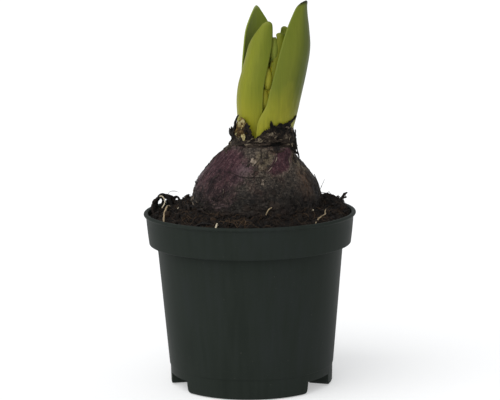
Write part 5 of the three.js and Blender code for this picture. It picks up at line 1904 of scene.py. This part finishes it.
# the wrinkled skin that closes the neck, torn along its top and hollow right of its middle, the hollow
# painted dark as shade
def addNeckSkin(batch):
    front = np.linspace(-180, 180, neck["columns"], endpoint=False)[None, :]
    v = np.linspace(0, 1, neck["rows"])[:, None]
    turn = np.radians(front - 90)
    ring = polar(neck["radius"], turn, 0)
    topZ = roundNeck(neck["top"], front) - neck["topDrop"]
    topZ = np.minimum(topZ, 107) + 1.6 * softNoise(ring, 2.4, 48, 3)
    footZ = roundNeck(neck["foot"], front) + 1.3 * softNoise(ring, 3, 49, 3)
    z = footZ + (topZ - footZ) * v
    at = polar(neck["radius"], turn + 0 * v, z)
    folds = softNoise(squash(at, 0.22, 1.0), 0.9, 50, 3)
    dents = softNoise(at, 2.6, 54, 2)
    radius = np.maximum(neckHull(z, front),
                        13.75 - neckIn(front, z)) + 0.5 * folds + 0.5 * dents - 0.5 * v ** 3
    radius = radius - 0.45 * smoothStep(0.16, 0, v)
    hollow = np.exp(-((front - 25) / 14.0) ** 2 - ((z - 102.5) / 2.2) ** 2) + 0.4 * softNoise(at, 1.6, 59, 2)
    hollow = smoothStep(0.3, 0.6, hollow)
    radius = radius - 1.0 * hollow
    x, y = neckAxis(z)
    # painted shade: the skin's tone falls to black in the hollow
    tones = np.clip(0.46 + 0.8 * folds + 0.5 * softNoise(at, 3.5, 55, 2) - 0.2 * v, 0, 1) * (1 - hollow)
    tones = tones * (1 - 0.75 * smoothStep(105.2, 106.6, z))
    outer = polar(radius, turn, z, x, y)
    inner = polar(radius - neck["wall"], turn, z, x, y)[::-1]
    shell = np.concatenate([outer, inner, outer[:1]])
    addGrid(batch, shell, wrap=True, data={"tone": np.concatenate([tones, tones[::-1], tones[:1]])})


# three layers of dry scales; those at the front are kept low
def addScaleRing(batch, dice):
    for i in range(neck["scales"]):
        front = (i * neck["scaleTurn"]) % 360 - 180
        top = float(roundNeck(neck["top"], front))
        inner = i % 3
        reach = 13.0 + 0.35 * inner + dice.uniform(-0.1, 0.2)
        seen = -96 < front < 112
        tip = top + dice.uniform(-1.8, -0.4 if seen else 2.4)
        middle, spread, least = (0.1, 0.1, 0.0) if inner < 2 else (0.22, 0.14, 0.05)
        tone = nearTone(dice, middle, spread, least, 0.8)
        foot = dice.uniform(102.5, 104) if seen else dice.uniform(99.8, 102)
        if -24 < front < 48:
            foot += 1.4
        half, flare = dice.uniform(1.8, 3.8), dice.uniform(0, 0.2 if seen else 1.2)
        addScale(batch, front, foot, tip, half, flare, tone, dice, reach, dice.uniform(0.35, 0.7))


# dry wrinkles that run round the neck
def addWrinkles(batch, dice):
    for _ in range(neck["wrinkles"]):
        front = dice.uniform(-180, 180)
        z = dice.uniform(99.4, 105.6)
        reachOut = dice.uniform(6, 22)
        if 4 < front < 46 and 100 < z < 104.6:
            continue
        path = ((front - reachOut, z + dice.gauss(0, 0.6), 13.5, 0.08),
                (front, z, 13.9, dice.uniform(0.15, 0.4)),
                (front + reachOut, z + dice.gauss(0, 0.6), 13.5, 0.08))
        brightest = 0.28 if -46 < front < 12 else 0.7
        tone = nearTone(dice, 0.34, 0.16, 0.05, brightest)
        addRibbon(batch, path, tone, dice, thick=0.25, rough=0.8)


# small torn scraps of the cream scale
def addCreamScraps(batch, dice):
    for _ in range(neck["creamScraps"]):
        front, z = dice.uniform(-60, -33), dice.uniform(105.2, 112.4)
        size = dice.uniform(0.2, 0.5)
        slant = dice.uniform(-5, 5)
        path = ((front - slant, z - size * 2, 13.6, 0.08), (front, z, 13.95, size),
                (front + slant, z + size * 2, 13.5, 0.08))
        tone = nearTone(dice, 0.42, 0.34)
        addRibbon(batch, path, tone, dice, thick=0.24, rough=1.0, crumple=0.5, rows=12, cols=6)


def makeNeck(dark, pale):
    dice = random.Random(neck["seed"])
    batch = newBatch()
    for tone, rough, stations in frontTorn:
        addRibbon(batch, stations, tone, dice, rough=rough)
    addBrownScraps(batch, dice)
    addNeckSkin(batch)
    addScaleRing(batch, dice)
    addWrinkles(batch, dice)
    piece = finishMesh("dead_neck_scales", batch, dark)
    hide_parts("neck_scales")
    batch = newBatch()
    for tone, options, stations in creamTorn:
        addRibbon(batch, stations, tone, dice, **options)
    addCreamScraps(batch, dice)
    piece = finishMesh("cream_scale", batch, pale)
    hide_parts("pale_scale")


# the flower spike
spike = {
    "axis": ((99.2, 112, 127, 138, 146), (5, 7.6, 9.5, 11, 12)),  # heights, then x there
    "stalkRadius": 3.3,
    "headZ": (114, 145.5),
    "headRadius": 4.2,
    "tiers": 8,
    "inTier": 6,
    "budRadius": 2.05,
    "budLength": 4.5,
    "lean": 0.26,
    "stalkZ": (98.9, 143),
    "stalkTaper": ((99, 138, 143), (1, 0.9, 0.5)),  # heights, then shares of the radius
    "budRows": 15,
    "budSides": 18,
    "seed": 73,
    # the buds seen between the leaves: height, facing, reach, radius, half length, share of the height
    "gapBuds": ((142.3, -94, 7.3, 2.2, 5.8, 0.95), (129.9, -102, 7.9, 2.35, 5.2, 0.35),
                (121.4, -104, 7.7, 2.2, 5.2, 0.25), (113.2, -106, 7.3, 2.2, 5, 0.2),
                (134.4, -87, 6.6, 2, 4.8, 0.6), (125.6, -90, 6.8, 2.1, 4.9, 0.3),
                (117.2, -93, 6.8, 2.1, 4.9, 0.22)),
}


budColours = {
    "up": ((0.2, 148, 144, 40), (0.55, 162, 156, 40), (0.7, 126, 134, 44), (1, 102, 112, 40)),
    "green": colour(88, 98, 38),
}


# yellow-green buds, greener towards the tip of the spike
def budSkin():
    sockets = {"Subsurface Weight": 0.1, "Subsurface Scale": 0.001}
    material, node, join = startMaterial("budSkin", 0.5, 0.15, sockets)
    mottle = objectNoise(node, 800, detail=3)
    base = paintRamp(node, stray(node, layer(node, "high"), mottle, 0.2), budColours["up"])
    base = mixColour(node, times(node, layer(node, "tone"), 0.5), base, budColours["green"])
    join(base, "Base Color")
    bump(node, join, mottle, 0.4, 0.0002)
    return material


# one bud: a lobed drop that leans out from the spike's axis
def addBud(batch, dice, turn, mid, reach, wide, half, lean, share):
    v = np.linspace(0, 1, spike["budRows"])[:, None]
    around = fullTurn(spike["budSides"])[None, :]
    swell = np.sin(math.pi * v ** 0.9) ** 0.62 * (1 - 0.15 * v)
    lobes = 1 + 0.06 * np.cos(around * 6) * smoothStep(0.25, 0.8, v)
    bx = wide * swell * lobes * np.cos(around)
    by = wide * swell * lobes * np.sin(around)
    bz = (v * 2 - 1) * half + 0 * around
    rx = bx * math.cos(lean) + bz * math.sin(lean) + reach
    rz = bz * math.cos(lean) - bx * math.sin(lean)
    axisX = np.interp(mid, *spike["axis"])
    grid = xyz(axisX + rx * math.cos(turn) - by * math.sin(turn),
               rx * math.sin(turn) + by * math.cos(turn), mid + rz)
    addGrid(batch, grid[1:-1], wrap=True, caps="fan",
            data={"high": share * 0.85 + 0.15 * v[1:-1] + 0 * around, "tone": dice.random() * 0.6})


# the tiers of buds, then those seen between the leaves
def budSpots(dice):
    spots = []
    lowZ, highZ = spike["headZ"]
    for tier in range(spike["tiers"]):
        share = tier / (spike["tiers"] - 1)
        mid = lowZ + spike["budLength"] + share * (highZ - lowZ - 2 * spike["budLength"])
        slim = 1 - 0.45 * float(smoothStep(0.6, 1, share)) - 0.15 * float(smoothStep(0.3, 0, share))
        for place in range(spike["inTier"]):
            turn = 2 * math.pi * (place + tier * 0.5 + 0.15 * dice.random()) / spike["inTier"]
            spots.append((turn, mid, spike["headRadius"] * slim,
                          spike["budRadius"] * slim * dice.uniform(0.92, 1.05),
                          spike["budLength"] * dice.uniform(0.92, 1.05), spike["lean"] * (1 - 0.5 * share),
                          share))
    for mid, facing, reach, wide, half, share in spike["gapBuds"]:
        spots.append((math.radians(facing), mid, reach, wide, half, 0.03, share))
    return spots


def makeSpike():
    dice = random.Random(spike["seed"])
    batch = newBatch()
    z = np.linspace(*spike["stalkZ"], 30)
    addTube(batch, xyz(np.interp(z, *spike["axis"]), 0, z),
            spike["stalkRadius"] * np.interp(z, *spike["stalkTaper"]), 20,
            data={"high": 0.1, "tone": 0})
    for spot in budSpots(dice):
        addBud(batch, dice, *spot)
    piece = finishMesh("flower_buds", batch, budSkin())
    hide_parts("flower_spike")


makeCamera()
makeLight()
makePot()
peat = peatSkin()
makeSoil(peat)
makeCrumbs(peat)
makeRoots()
makeBulb(bulbPaper())
makeTornSkin(flakeSkin("tornTunic"))
makeFuzz(fibreSkin("bulbFibre"))
makeNeck(flakeSkin("deadScale"), flakeSkin("creamScale"))
makeLeaves()
makeSpike()
makeFloor()
